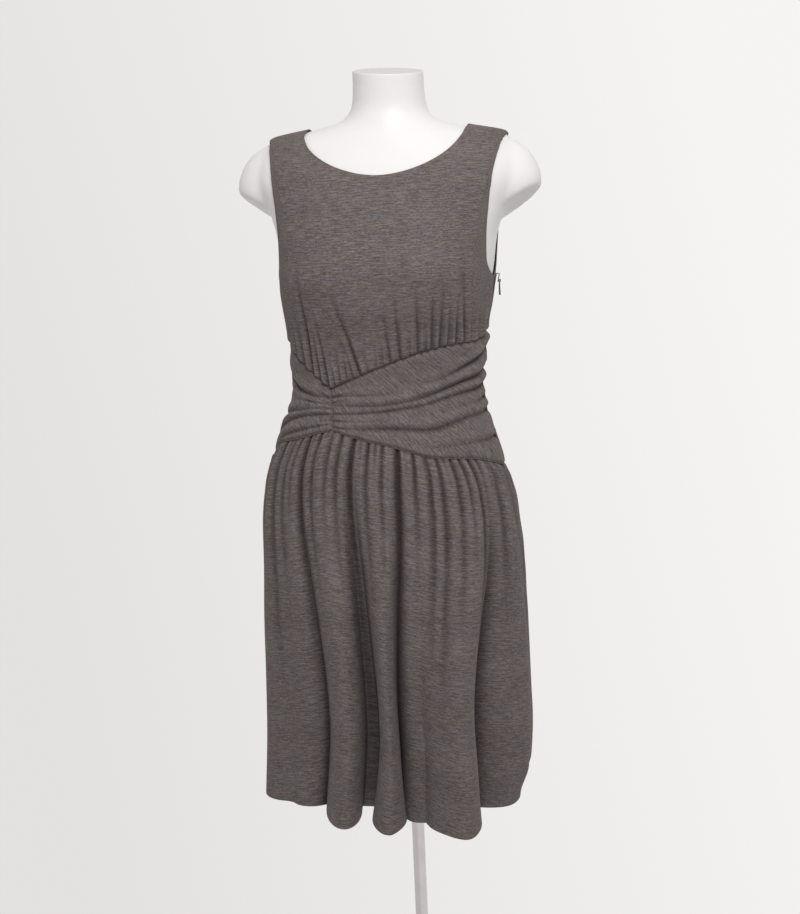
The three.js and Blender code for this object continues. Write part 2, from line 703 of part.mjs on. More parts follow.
function zipSlider() {
  const { width, neck, loop, wall, behind, over, drop, arm, hole } = SLIDER;
  const place = sliderFrame();
  const plateFace = -CLOTH / 2 - behind;
  const plate = blockOn(place, [plateFace - wall, plateFace], width / 2, [-drop, over + wall]);
  const bridge = blockOn(place, [plateFace - wall, ARM_FACE], neck / 2, [over, over + wall]);
  const outerArm = blockOn(place, [ARM_FACE - wall, ARM_FACE], width / 2, [-arm, over + wall]);
  const ringDepth = [ARM_FACE - wall, ARM_FACE + hole + wall];
  const ring = blockOn(place, ringDepth, loop / 2, [-arm, 2 * wall + hole - arm]);
  const eye = blockOn(place, [ARM_FACE, ARM_FACE + hole], loop, [wall - arm, wall + hole - arm]);
  const trimmed = ring.subtract(eye);
  return fromManifold(plate.add(bridge).add(outerArm).add(trimmed));
}

/** The pull tab: a bar in the loop, two legs beside it and a tapering tab that hangs straight down. */
function zipPull() {
  const { length, top, tip, thick, eye, leg, play } = PULL;
  const place = sliderFrame();
  const hinge = place.top.clone().addScaledVector(place.out, HINGE.out).addScaledVector(place.up, HINGE.up);
  const legFrom = SLIDER.loop / 2 + play;
  const bar = new THREE.CylinderGeometry(thick / 2, thick / 2, 2 * (legFrom + leg), 12);
  const legs = [-1, 1].map((hand) => {
    const box = new THREE.BoxGeometry(thick, leg, eye + leg);
    return box.translate(0, hand * (legFrom + leg / 2), -(eye + leg) / 2);
  });
  const low = -eye - length;
  const outline = [[-top / 2, -eye], [top / 2, -eye], [tip / 2, low + 1], [tip / 2 - 1, low],
    [1 - tip / 2, low], [-tip / 2, low + 1]];
  const shape = new THREE.Shape(outline.map(([y, z]) => new THREE.Vector2(y, z)));
  const tab = new THREE.ExtrudeGeometry(shape, { depth: thick, bevelEnabled: false });
  tab.translate(0, 0, -thick / 2);
  tab.applyMatrix4(new THREE.Matrix4().makeBasis(
    new THREE.Vector3(0, 1, 0),
    new THREE.Vector3(0, 0, 1),
    new THREE.Vector3(1, 0, 0),
  ));
  const solid = [bar, ...legs, tab].map(toManifold).reduce((sum, piece) => sum.add(piece));
  return fromManifold(solid.translate([hinge.x, hinge.y, hinge.z]));
}

// ---------------------------------------------------------------- dress form
/** One level ring of the form; the neck's rings tip forward. */
function formRing(z, count) {
  const tilt = NECK_TILT * smoothstep(z, 1424, 1484);
  const cy = formCurves.cy(z);
  return Array.from({ length: count }, (_, i) => {
    const turn = (360 * i) / count - 180;
    const front = Math.abs(turn) <= 90;
    const fromFace = front ? turn : Math.sign(turn) * 180 - turn;
    const point = formPoint(fromFace, z, front ? SIDES.front : SIDES.back);
    point.z += (point.y - cy) * tilt;
    return point;
  });
}

/** Blunt stub of an arm, rounded outside and cut off along a slope beneath. */
function armStub(hand) {
  const centre = new THREE.Vector3(-5 + hand * 146, 15, 1338 - LEAN * hand * 146);
  const [reach, deep, tall, roundness] = [61, 43, 56, 1.22];
  const shares = [-0.25, 0, 0.25, 0.45, 0.62, 0.76, 0.87, 0.95, 0.99];
  const rings = shares.map((out) => {
    const scale = out < 0 ? 1 : Math.sqrt(1 - out * out);
    return Array.from({ length: 28 }, (_, i) => {
      const angle = (hand * 2 * Math.PI * i) / 28;
      const [c, s] = [Math.cos(angle), Math.sin(angle)];
      return new THREE.Vector3(
        centre.x + hand * out * reach,
        centre.y + deep * scale * Math.sign(c) * Math.abs(c) ** roundness,
        centre.z + tall * scale * Math.sign(s) * Math.abs(s) ** roundness,
      );
    });
  });
  const knife = new THREE.BoxGeometry(200, 200, 200);
  knife.translate(0, 0, -100);
  knife.rotateY(-hand * Math.atan2(50, 61));
  knife.translate(centre.x + hand * reach, centre.y, centre.z);
  return toManifold(ringSolid(rings)).subtract(toManifold(knife));
}

const FORM_LEVELS = [800, 806, 845, 890, 935, 980, 1025, 1070, 1115, 1155, 1190, 1220, 1250, 1280,
  1310, 1340, 1362, 1378, 1390, 1396, 1400, 1404, 1408, 1413, 1418, 1424, 1432, 1446, 1481, 1484];

function formTorso() {
  const rings = FORM_LEVELS.map((z) => formRing(z, STEPS.formRing));
  const [foot, cap] = [rings[0], rings[rings.length - 1]];
  shrinkRing(foot, 5);
  shrinkRing(cap, 2.5);
  return fromManifold(toManifold(ringSolid(rings)).add(armStub(-1)).add(armStub(1)));
}

/** Draws a ring in towards its middle, which rounds the edge of an end. */
function shrinkRing(ring, amount) {
  const middle = ring.reduce((sum, p) => sum.add(p), new THREE.Vector3()).divideScalar(ring.length);
  ring.forEach((p) => p.addScaledVector(middle.clone().sub(p).normalize(), amount));
}

// ---------------------------------------------------------------- stand
const lathe = (profile, segments) => new THREE.LatheGeometry(
  profile.map(([r, z]) => new THREE.Vector2(r, z)),
  segments,
).rotateX(Math.PI / 2);

function basePlate() {
  const { radius, thickness, edge } = BASE;
  return lathe([[0, 0], [radius - 1, 0], [radius, 1], [radius, thickness - edge],
    [radius - edge, thickness], [0, thickness]], 64);
}

function baseCollar() {
  const bottom = BASE.thickness + RUNNING_GAP;
  const bore = POLE_RADIUS + RUNNING_GAP;
  const { radius, height } = COLLAR;
  const top = bottom + height;
  return lathe([[bore, bottom], [radius, bottom], [radius, bottom + 6], [radius - 7, bottom + 10],
    [radius - 7, top - 2], [radius - 9, top], [bore, top], [bore, bottom]], 40);
}

/** The lowest height of the form's foot within a radius of the pole's axis. */
function formFootZ(radius) {
  const [z, cx] = FORM_SECTIONS[0];
  return z - LEAN * (radius - cx);
}

function pole() {
  const bottom = BASE.thickness + RUNNING_GAP;
  const top = formFootZ(POLE_RADIUS) - RUNNING_GAP;
  return lathe([[0, bottom], [POLE_RADIUS, bottom], [POLE_RADIUS, top], [0, top]], 40);
}

/** The flange under the form that takes the pole's end. */
function formSocket() {
  const top = formFootZ(SOCKET.flange) - RUNNING_GAP;
  const bore = POLE_RADIUS + RUNNING_GAP;
  const { radius, flange, height, flangeHeight } = SOCKET;
  return lathe([[bore, top - height], [radius, top - height], [radius, top - flangeHeight],
    [flange, top - flangeHeight], [flange, top], [bore, top], [bore, top - height]], 40);
}

// ---------------------------------------------------------------- the scene graph
const finish = (color, roughness, metalness) => (
  new THREE.MeshStandardMaterial({ color, roughness, metalness })
);
const FINISHES = {
  knit: finish(COLOURS.knit, 0.9, 0),
  form: finish(COLOURS.form, 0.35, 0),
  chrome: finish(COLOURS.chrome, 0.12, 1),
  base: finish(COLOURS.base, 0.4, 0.2),
  zip: finish(COLOURS.zip, 0.6, 0),
  slider: finish(COLOURS.slider, 0.4, 0.8),
};

function named(name, geometry, material) {
  const mesh = new THREE.Mesh(geometry, material);
  mesh.name = name;
  return mesh;
}

const dress = new THREE.Group();
dress.add(named('bodice_front', bodicePanel('front'), FINISHES.knit));
dress.add(named('bodice_back', bodicePanel('back'), FINISHES.knit));
const [lastFront, lastBack] = [grids.front, grids.back].map(({ band }) => band[0].length - 1);
dress.add(named('band_front_right', bandPiece('front', 0, V_STEP), FINISHES.knit));
dress.add(named('band_front_left', bandPiece('front', V_STEP, lastFront), FINISHES.knit));
dress.add(named('band_back', bandPiece('back', 0, lastBack), FINISHES.knit));
dress.add(named('skirt_front', skirtPanel('front'), FINISHES.knit));
dress.add(named('skirt_back', skirtPanel('back'), FINISHES.knit));
dress.add(named('zip_chain', zipChain(), FINISHES.zip));
dress.add(named('zip_slider', zipSlider(), FINISHES.slider));
dress.add(named('zip_pull', zipPull(), FINISHES.slider));

const stand = new THREE.Group();
stand.add(named('form_torso', formTorso(), FINISHES.form));
stand.add(named('form_socket', formSocket(), FINISHES.chrome));
stand.add(named('pole', pole(), FINISHES.chrome));
stand.add(named('base_collar', baseCollar(), FINISHES.chrome));
stand.add(named('base_plate', basePlate(), FINISHES.base));

const part = new THREE.Group();
part.add(dress, stand);
export default part;
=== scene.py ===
"""A sleeveless knitted dress with a draped crossover band, standing on a limbless dress form.

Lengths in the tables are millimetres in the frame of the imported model: +Z up, -Y the front of the
dress, +X the wearer's left. Each piece is a surface worked out from two parameters on a grid.
"""

import json

import bmesh
import bpy
import numpy as np
from mathutils import Matrix
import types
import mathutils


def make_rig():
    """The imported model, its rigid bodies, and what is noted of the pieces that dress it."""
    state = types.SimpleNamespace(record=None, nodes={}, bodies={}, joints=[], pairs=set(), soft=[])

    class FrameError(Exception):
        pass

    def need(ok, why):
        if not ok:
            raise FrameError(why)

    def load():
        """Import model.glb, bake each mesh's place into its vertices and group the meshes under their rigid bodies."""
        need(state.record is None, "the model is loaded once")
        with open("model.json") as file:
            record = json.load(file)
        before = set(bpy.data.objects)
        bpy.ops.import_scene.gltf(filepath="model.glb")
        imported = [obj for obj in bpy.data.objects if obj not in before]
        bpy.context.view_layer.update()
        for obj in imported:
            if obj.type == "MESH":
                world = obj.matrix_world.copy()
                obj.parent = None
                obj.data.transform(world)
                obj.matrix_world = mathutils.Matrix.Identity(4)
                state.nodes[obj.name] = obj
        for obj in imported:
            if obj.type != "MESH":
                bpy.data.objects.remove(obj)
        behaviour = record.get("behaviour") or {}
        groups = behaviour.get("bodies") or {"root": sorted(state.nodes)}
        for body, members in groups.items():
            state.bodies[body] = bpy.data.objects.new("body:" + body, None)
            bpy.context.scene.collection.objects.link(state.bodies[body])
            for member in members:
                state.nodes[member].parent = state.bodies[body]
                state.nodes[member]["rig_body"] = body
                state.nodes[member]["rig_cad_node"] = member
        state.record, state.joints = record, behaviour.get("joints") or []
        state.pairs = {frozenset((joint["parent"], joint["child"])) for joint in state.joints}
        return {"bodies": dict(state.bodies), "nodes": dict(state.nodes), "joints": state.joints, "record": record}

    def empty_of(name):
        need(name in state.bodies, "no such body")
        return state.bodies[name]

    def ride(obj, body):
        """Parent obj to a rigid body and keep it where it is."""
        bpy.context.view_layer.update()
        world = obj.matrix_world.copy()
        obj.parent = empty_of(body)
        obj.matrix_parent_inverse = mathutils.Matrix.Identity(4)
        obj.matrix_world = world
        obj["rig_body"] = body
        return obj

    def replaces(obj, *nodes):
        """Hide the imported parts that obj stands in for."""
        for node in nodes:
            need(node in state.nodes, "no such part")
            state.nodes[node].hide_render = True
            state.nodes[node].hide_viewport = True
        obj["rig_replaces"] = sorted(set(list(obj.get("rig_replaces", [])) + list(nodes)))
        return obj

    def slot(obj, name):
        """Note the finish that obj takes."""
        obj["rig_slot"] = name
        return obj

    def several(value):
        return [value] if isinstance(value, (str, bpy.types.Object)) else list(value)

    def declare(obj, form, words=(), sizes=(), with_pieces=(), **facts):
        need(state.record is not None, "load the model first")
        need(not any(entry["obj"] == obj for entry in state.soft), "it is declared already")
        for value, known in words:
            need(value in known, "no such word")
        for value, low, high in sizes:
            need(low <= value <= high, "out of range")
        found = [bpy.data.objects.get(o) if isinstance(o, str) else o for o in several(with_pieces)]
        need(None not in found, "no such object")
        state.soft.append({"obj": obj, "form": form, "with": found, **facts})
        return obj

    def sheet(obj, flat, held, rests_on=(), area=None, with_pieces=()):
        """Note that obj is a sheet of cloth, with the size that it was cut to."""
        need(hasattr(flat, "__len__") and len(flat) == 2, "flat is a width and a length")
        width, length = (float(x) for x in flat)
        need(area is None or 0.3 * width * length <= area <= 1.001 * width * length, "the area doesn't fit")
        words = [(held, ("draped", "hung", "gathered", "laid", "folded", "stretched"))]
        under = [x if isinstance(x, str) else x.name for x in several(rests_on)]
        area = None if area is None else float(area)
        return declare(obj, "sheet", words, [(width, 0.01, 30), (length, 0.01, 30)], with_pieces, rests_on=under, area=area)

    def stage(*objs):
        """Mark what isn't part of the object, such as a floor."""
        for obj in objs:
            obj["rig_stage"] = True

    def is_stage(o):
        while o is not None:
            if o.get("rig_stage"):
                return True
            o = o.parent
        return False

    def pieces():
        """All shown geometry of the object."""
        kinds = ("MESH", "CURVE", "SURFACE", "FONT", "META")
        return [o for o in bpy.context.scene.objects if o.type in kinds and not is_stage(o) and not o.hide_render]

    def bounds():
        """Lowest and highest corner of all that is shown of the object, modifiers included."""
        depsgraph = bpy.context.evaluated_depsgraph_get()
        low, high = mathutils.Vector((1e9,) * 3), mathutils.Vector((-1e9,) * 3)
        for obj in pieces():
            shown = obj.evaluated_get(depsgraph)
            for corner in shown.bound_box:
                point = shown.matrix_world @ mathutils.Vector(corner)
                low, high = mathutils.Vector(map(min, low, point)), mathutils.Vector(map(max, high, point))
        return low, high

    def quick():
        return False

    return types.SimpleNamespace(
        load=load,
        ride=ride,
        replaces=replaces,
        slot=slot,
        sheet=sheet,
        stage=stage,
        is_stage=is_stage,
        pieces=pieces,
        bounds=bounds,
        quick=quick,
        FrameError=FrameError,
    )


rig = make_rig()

bl_info = {
    "name": "Knitted Dress on a Form",
    "version": (1, 0, 0),
    "blender": (4, 5, 0),
    "location": "View3D > Sidebar > Dress",
    "description": "Builds a draped knitted dress, its dress form and its stand around a packed frame",
    "category": "Object",
}

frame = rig.load()
CAD_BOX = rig.bounds()
ROOT_BODY = "dress_on_form"
PULL_BODY = "pull_tab"
MM = 0.001
FRONT, BACK = -1, 1
SIDES = {"front": FRONT, "back": BACK}

# ---- tables of sizes
LEAN = 0.012  # the form leans sideways: fall in z for each unit of +X
EASE = 3.15  # air between the form and the cloth in the frame
WALL = 1.6  # thickness of the cloth in the frame
HEM_Z = 474
HEM_LIFT = 9  # rise of the hem in its valleys
UNDERARM_Z = 1205
SHOULDER = {"tip": 1396, "neck": 1407}
TORSO_LEVELS = ((802, 1388, 6), (1388, 1430, 2), (1432, 1480, 4))  # of the form's rings: from, to, step
RING_POINTS = {"torso": 220, "plug": 160, "stub": 96}
FLARE = {"rise": 8, "top": 1045, "bottom": 955}
NECK_TILT = np.tan(np.radians(8))
NECK_SLANT = 0.045  # how far the end of the neck drops towards the wearer's left
NECK_TURNS = {"tilt": (1424, 1484), "slant": (1440, 1484)}  # heights over which the neck turns
PLUG_LEVELS = (1446, 1452, 1458, 1464, 1470, 1475, 1480, 1483.4)  # rings of the plug that ends the neck
PLUG_SHARES = (0.985, 1.004)  # its size beside the neck's, at the first ring and at the last
BUST = {"z": 1218, "tall": 44, "reach": 64, "wide": 46, "rise": 9, "between": 0.72}
STUB = {"apart": 146, "cx": -5, "cy": 15, "z": 1329, "reach": 65, "deep": 43, "tall": 65, "power": 1.15}
STUB_CUT = {"below": 5, "fall": 42, "forward": 0.3}  # the plane that ends a stub below

SECTION_COLUMNS = ("z", "cx", "cy", "half", "front", "back", "power")
FORM_SECTIONS = (
    (800, -14, -32, 162, 102, 112, 2.2),
    (880, -16, -30, 160, 100, 114, 2.2),
    (940, -18, -26, 152, 95, 106, 2.2),
    (1000, -16, -20, 137, 90, 95, 2.2),
    (1060, -13, -14, 126, 87, 84, 2.2),
    (1130, -10, -9, 131, 97, 90, 2.3),
    (1170, -9, -6, 138, 108, 95, 2.4),
    (1215, -8, -2, 145, 114, 98, 2.5),
    (1260, -7, 2, 150, 109, 97, 2.5),
    (1300, -6, 7, 163, 99, 93, 2.4),
    (1345, -5, 13, 182, 85, 85, 2.4),
    (1380, -4, 17, 176, 71, 75, 2.1),
    (1396, -3, 18, 161, 66, 67, 1.7),
    (1407, -2, 18, 110, 61, 61, 1.7),
    (1418, -1, 18, 68, 58, 57, 1.9),
    (1424, -1, 18, 59, 56, 55, 2),
    (1432, 0, 17, 53, 53, 53, 2),
    (1450, 1, 14, 49.5, 50, 50, 2),
    (1484, 1.7, 10, 48, 49, 49, 2),
)
SKIRT_SECTIONS = (
    (474, -24, -32, 174, 70, 90, 2.8),
    (600, -15, -32, 177, 90, 104, 2.5),
    (700, -14.5, -32, 177, 105, 115, 2.3),
    (800, -14, -32, 175, 113, 121, 2.2),
    (880, -16, -30, 171, 109, 122, 2.2),
    (940, -18, -26, 161, 102, 113, 2.2),
    (1012, -16, -18, 140, 95, 95, 2.2),
)

# Seams of the midriff band: turn about the body in degrees, height.
V_TURN = {"top": -28, "bottom": -24}
BAND_TOP = {
    "right": ((-90, 1131), (-66, 1111), (-48, 1090), (-28, 1062)),
    "left": ((-28, 1062), (-8, 1081), (10, 1100), (25, 1111), (45, 1118), (70, 1120), (90, 1131)),
    "back": ((-90, 1131), (0, 1124), (90, 1131)),
}
BAND_BOTTOM = {
    "right": ((-90, 968), (-78, 984), (-50, 995), (-24, 1010)),
    "left": ((-24, 1010), (-5, 996), (11, 985), (29, 972), (55, 966), (77, 955), (90, 948)),
    "back": ((-90, 968), (0, 957), (90, 948)),
}

ARMHOLE_COLUMNS = ("z", "front", "back")
ARMHOLE = (
    (1205, 143.6, 143.6),
    (1215, 141, 144),
    (1232, 138.5, 145),
    (1260, 139, 146),
    (1308, 143.5, 149),
    (1345, 149, 153),
    (1376, 155.5, 157),
    (1396, 161, 161),
)
NECKLINE = {"front": {"low": 1343.5, "power": 1.8}, "back": {"low": 1388, "power": 2}}
# Steps between the columns of a panel's grid along each stretch of half its upper edge.
EDGE_STEPS = {
    "front": {"armhole": 9, "shoulder": 4, "neckline": 11},
    "back": {"armhole": 7, "shoulder": 4, "neckline": 7},
}
COLUMN_BEND = 2.1  # how late a column of the bodice leaves its reach at the band for that at its end
V_SHARE = 14 / 48  # of the columns of the front that start on the wearer's right of the V
# Sideways swing of the columns near the strap's corners; peak brings t^power·sqrt(1 - t) up to 1.
CORNER = {"neck": 10, "tip": 6, "power": 12, "peak": 8.2, "neck_spread": 2.2, "tip_spread": 1.6}

# Folds of the skirt: a valley in each row, and the ridge after it. `top` and `hem` are its turns
# about the body, `rise` its height at the hem, `ridge` the height of the ridge, `lean` its shift.
FOLD_COLUMNS = ("top", "hem", "rise", "ridge", "lean")
FOLDS = {
    "front": (
        (-90, -90, 2, 10, 0),
        (-53, -44, 2, 12, 0),
        (-36, -22, 0, 70, 18),
        (-11, -6.2, 0, 0, 0),
        (-8, -1.8, 0, 84, 10),
        (9.5, 2.5, 0, 45, 3),
        (24, 15, 66, 97, 13),
        (57, 33.5, 0, 12, 4),
        (90, 90, 3, 0, 0),
    ),
    "back": (
        (-90, -90, 4, 14, 0),
        (-54, -46, 0, 48, -8),
        (-26, -20, 0, 58, 6),
        (2, 3, 4, 60, -6),
        (30, 26, 0, 50, 8),
        (58, 52, 0, 12, 0),
        (90, 90, 3, 0, 0),
    ),
}
FOLD_GROWTH = 1.35  # power of a fold's growth from the band to the hem
EARLY_FOLD = 0.08  # share of a fold that shows straight below the band
FOLD_BULGE = 0.05  # how far the flanks of a fold bulge to its sides, as a share of its width
SIDE_TUCK = np.array([-10.0, 0, 8])  # how far the hem curls in at the wearer's left side

# Small valleys in the gathers: x where they start at the seam, how far sideways they drift to their
# end, their length, depth and width.
BODICE_VALLEYS = (
    (-133, -2, 60, 3.2, 2.6),
    (-122, -8, 60, 2.8, 2.2),
    (-110, -16, 85, 3.8, 2.6),
    (-99, -17, 150, 5.4, 2.8),
    (-89, -13, 95, 4, 2.4),
    (-78, -19, 110, 4.6, 2.6),
    (-69, -10, 50, 2.8, 2),
    (-62, -8, 60, 3.4, 2.2),
    (-53, -6, 60, 3.4, 2.2),
    (-44, -14, 70, 3.2, 2.2),
    (-34, -36, 140, 5.2, 2.6),
    (-24, -10, 45, 2.8, 2.2),
    (-13, -2, 40, 3.2, 2.2),
    (-5, -2, 40, 3.2, 2.2),
    (6, -7, 90, 4.8, 2.6),
    (13, -2, 40, 2.8, 2),
    (19, -3, 105, 5.2, 2.6),
    (31, 0, 50, 3.8, 2.2),
    (37, 2, 35, 2.6, 2),
    (42, 5, 110, 5, 2.6),
    (51, 3, 55, 3.8, 2.2),
    (59, 10, 105, 5.2, 2.6),
    (69, 13, 100, 5.2, 2.6),
    (79, 11, 85, 4.8, 2.4),
    (89, 12, 110, 5.2, 2.6),
    (99, 8, 130, 5.4, 2.8),
    (106, 8, 85, 4.4, 2.4),
    (114, 7, 75, 4, 2.4),
    (122, 5, 55, 3, 2.4),
)
SKIRT_VALLEYS = (
    (-168, 0, 260, 4.4, 3),
    (-160, 1, 110, 4, 2.6),
    (-152, 1, 230, 5.6, 3),
    (-145, 1, 90, 4, 2.4),
    (-138, 2, 380, 7, 3.4),
    (-131, 1, 110, 4.6, 2.4),
    (-125, 2, 250, 6.4, 3),
    (-116, 1, 170, 6, 3),
    (-110, 1, 80, 4, 2.2),
    (-103, 1, 450, 8.4, 3.8),
    (-96, 0, 90, 4.6, 2.4),
    (-88, 1, 260, 6.6, 3.2),
    (-80, 0, 80, 4.6, 2.4),
    (-72, 0, 170, 6, 3),
    (-61, 1, 220, 6.4, 3.2),
    (-54, 0, 70, 4.4, 2.2),
    (-45, 2, 490, 9, 3.6),
    (-36, 0, 70, 4.6, 2.4),
    (-26, 0, 230, 6.4, 3.2),
    (-17, 0, 90, 4.6, 2.4),
    (-8, 0, 190, 6.4, 3),
    (0, 0, 80, 5, 2.4),
    (11, 0, 490, 10.5, 4.2),
    (20, 0, 80, 5, 2.4),
    (30, 0, 170, 6.4, 3),
    (37, 0, 70, 4.6, 2.4),
    (45, 1, 320, 7.4, 3.4),
    (52, 0, 80, 4.6, 2.4),
    (59, 1, 380, 7.2, 3.8),
    (67, 0, 80, 4.6, 2.4),
    (75, 0, 260, 6.4, 3.2),
    (86, 1, 170, 6.2, 2.8),
    (97, 4, 480, 7.4, 3.4),
    (105, 2, 150, 6, 2.8),
    (111, 2, 80, 4.6, 2.2),
    (117, 4, 260, 6.2, 3),
    (123, 2, 90, 4.4, 2.2),
    (128, 5, 320, 5.6, 3),
    (135, 6, 380, 5, 3),
)

# Creases of the band pieces: heights as shares of the band's height and strengths, both at five
# places from the wearer's right to the left end of the piece, and a width.
CREASE_PLACES = (0, 0.25, 0.5, 0.75, 1)
CREASES = {
    "right": (
        ((0.84, 0.70, 0.61, 0.63, 0.76), (0.4, 0.9, 1.0, 1.0, 0.8), 4.0),
        ((0.56, 0.52, 0.49, 0.52, 0.59), (0.5, 0.1, 0.2, 0.9, 0.8), 2.8),
        ((0.30, 0.30, 0.34, 0.41, 0.48), (0.7, 0.6, 0.9, 0.8, 0.6), 3.4),
        ((0.10, 0.17, 0.25, 0.31, 0.36), (0.6, 0.9, 1.0, 1.0, 0.8), 3.6),
        ((0.02, 0.03, 0.08, 0.11, 0.13), (0.0, 0.3, 0.7, 0.8, 0.7), 2.6),
    ),
    "left": (
        ((0.70, 0.70, 0.70, 0.82, 0.91), (0.0, 0.0, 0.2, 1.0, 1.2), 4.2),
        ((0.80, 0.64, 0.60, 0.60, 0.60), (1.0, 0.35, 0.0, 0.0, 0.0), 3.0),
        ((0.58, 0.50, 0.58, 0.685, 0.74), (0.9, 1.0, 1.1, 1.1, 0.8), 4.0),
        ((0.37, 0.42, 0.50, 0.58, 0.63), (0.8, 0.9, 0.8, 0.9, 1.1), 3.6),
        ((0.20, 0.30, 0.37, 0.46, 0.52), (0.7, 0.2, 0.0, 0.2, 0.8), 3.2),
        ((0.06, 0.20, 0.26, 0.36, 0.42), (0.6, 0.8, 0.8, 0.7, 0.9), 4.0),
        ((0.02, 0.06, 0.08, 0.14, 0.22), (0.0, 0.0, 0.2, 0.5, 0.9), 3.8),
    ),
    "back": (
        ((0.84, 0.80, 0.78, 0.82, 0.91), (0.4, 0.5, 0.3, 0.7, 1.2), 4.2),
        ((0.56, 0.60, 0.62, 0.68, 0.74), (0.5, 0.7, 0.6, 0.6, 0.8), 4.2),
        ((0.30, 0.38, 0.44, 0.54, 0.63), (0.7, 0.6, 0.8, 0.6, 1.1), 4.4),
        ((0.10, 0.18, 0.24, 0.32, 0.42), (0.6, 0.8, 0.4, 0.7, 0.9), 4.0),
    ),
}
CREASE_DEPTH = 5.4
CREASE_LIPS = ((0.62, 2.0, 1.6), (0.22, -2.6, 2.2))  # share of the depth, place and width in crease widths
UNDERLAP = 3.5  # of the bodice and the skirt behind the band
TUCKED = 1.85  # height of their outer face above the form there
BAND_PROUD = 1.6  # of the band above the panels beside it
BAND_EDGE = 3.55  # height of the band's outer face along its edges
BODICE_GATHER, BODICE_SPREAD = 1.35, 240  # share of the valleys' depth; length that doubles their width
SKIRT_GATHER, SKIRT_SPREAD = 0.85, 700
PUFF = {"rise": (0.8, 5.5), "from_to": (-165, -60), "fade": 260}  # of the skirt under the band
BLOUSE = {"rise": 3.6, "fade": 60}  # of the bodice above the band
EDGE_DROP = {"depth": 2.0, "reach": 16, "on_strap": 0.45}  # of the bodice along its upper edge
SEAM_ROLL = 9  # reach from a seam within which a surface is lifted square to the seam
DITCH = 2.8  # width of the ditch where a panel goes behind the band
STRAP_FADE = 1.2  # steps beyond the strap's corners in which its own edge fades out
ARM_FADE = (1150, 1330)  # heights over which the side seam's roll and ditch fade out
SEEDS = {
    "bodice": {"front": 11, "back": 12},
    "band": {"right": 31, "left": 32, "back": 33},
    "skirt": {"front": 41, "back": 42},
}
ARM_PUFF = {"rise": 0.9, "from": (1080, 1180), "to": (1230, 1330), "in": 26, "spread": 16}
V_REACH = 60  # from the V within which a seam's end isn't rolled
V_PINCH = {"share": 0.55, "reach": 90}  # width of a crease at the V, and where it is whole
V_PLEATS = {"rise": 0.9, "count": 7.2, "reach": 26}  # fine pleats of the band at the V
SETTLED = 0.1  # share of the way down at which the skirt's section has left the form's
FOLDS_PLACED = 0.8  # share of the way down at which the folds are where they are at the hem
TUCK_TURNS = (52, 88)
FULL_SHADE_DEPTH = {"bodice": 4.2, "skirt": 5}  # of a gather that counts as wholly hollow, where the painted shade in the knit is darkest
CORNER_EVENING = {"spread": 0.5, "rounds": 30, "from": 0.6, "to": 0.9}  # of columns at a strap's corner

# The panels: grid counts (steps or points across, rows), size and area of the cloth in metres.
BODICE_PANELS = {
    "front": ("bodice_front", 7, 140, (0.46, 0.42), 0.115),
    "back": ("bodice_back", 6, 100, (0.44, 0.35), 0.108),
}
BAND_PANELS = {
    "right": ("band_front_right", 130, 110, (0.15, 0.17), 0.016),
    "left": ("band_front_left", 260, 120, (0.28, 0.22), 0.038),
    "back": ("band_back", 200, 90, (0.45, 0.21), 0.072),
}
SKIRT_PANELS = {
    "front": ("skirt_front", 40, 145, (0.90, 0.55), 0.34),
    "back": ("skirt_back", 36, 120, (0.75, 0.50), 0.30),
}


# ---- plain functions
def lerp(a, b, t):
    return a + (b - a) * t


def smoothstep(x, low, high):
    t = np.clip((x - low) / (high - low), 0, 1)
    return t * t * (3 - 2 * t)


def bell(x, width):
    return np.exp(-((x / width) ** 2))


def cosine(x, length):
    return np.cos(2 * np.pi * x / length)


def smooth_curve(xs, ys):
    """A monotone cubic through (xs, ys) that never overshoots them."""
    xs, ys = np.asarray(xs, float), np.asarray(ys, float)
    spans = np.diff(xs)
    slopes = np.diff(ys) / spans
    before, after = 2 * spans[1:] + spans[:-1], spans[1:] + 2 * spans[:-1]
    same_way = slopes[:-1] * slopes[1:] > 0
    safe = [np.where(same_way, s, 1.0) for s in (slopes[:-1], slopes[1:])]
    inner = np.where(same_way, (before + after) / (before / safe[0] + after / safe[1]), 0)
    tangents = np.concatenate([slopes[:1], inner, slopes[-1:]])

    def curve(x):
        x = np.clip(x, xs[0], xs[-1])
        i = np.clip(np.searchsorted(xs, x, side="right") - 1, 0, len(spans) - 1)
        s = (x - xs[i]) / spans[i]
        rise = ys[i] + (ys[i + 1] - ys[i]) * s * s * (3 - 2 * s)
        return rise + spans[i] * (s * (1 - s) ** 2 * tangents[i] + s * s * (s - 1) * tangents[i + 1])

    return curve


def curves_of(columns, rows):
    """One smooth curve for each named column of a table, all against its first column."""
    table = np.asarray(rows, float)
    return {name: smooth_curve(table[:, 0], table[:, k]) for k, name in enumerate(columns) if k}


FORM = curves_of(SECTION_COLUMNS, FORM_SECTIONS)
SKIRT = curves_of(SECTION_COLUMNS, SKIRT_SECTIONS)
ARM_EDGE = curves_of(ARMHOLE_COLUMNS, ARMHOLE)
SEAM_TOP = {key: smooth_curve(*zip(*rows)) for key, rows in BAND_TOP.items()}
SEAM_BOTTOM = {key: smooth_curve(*zip(*rows)) for key, rows in BAND_BOTTOM.items()}


def seam_height(curves, turn, meeting, side_name):
    """Height of a seam of the band; at the front two curves meet at a turn."""
    if side_name == "back":
        return curves["back"](turn)
    return np.where(turn <= meeting, curves["right"](turn), curves["left"](turn))


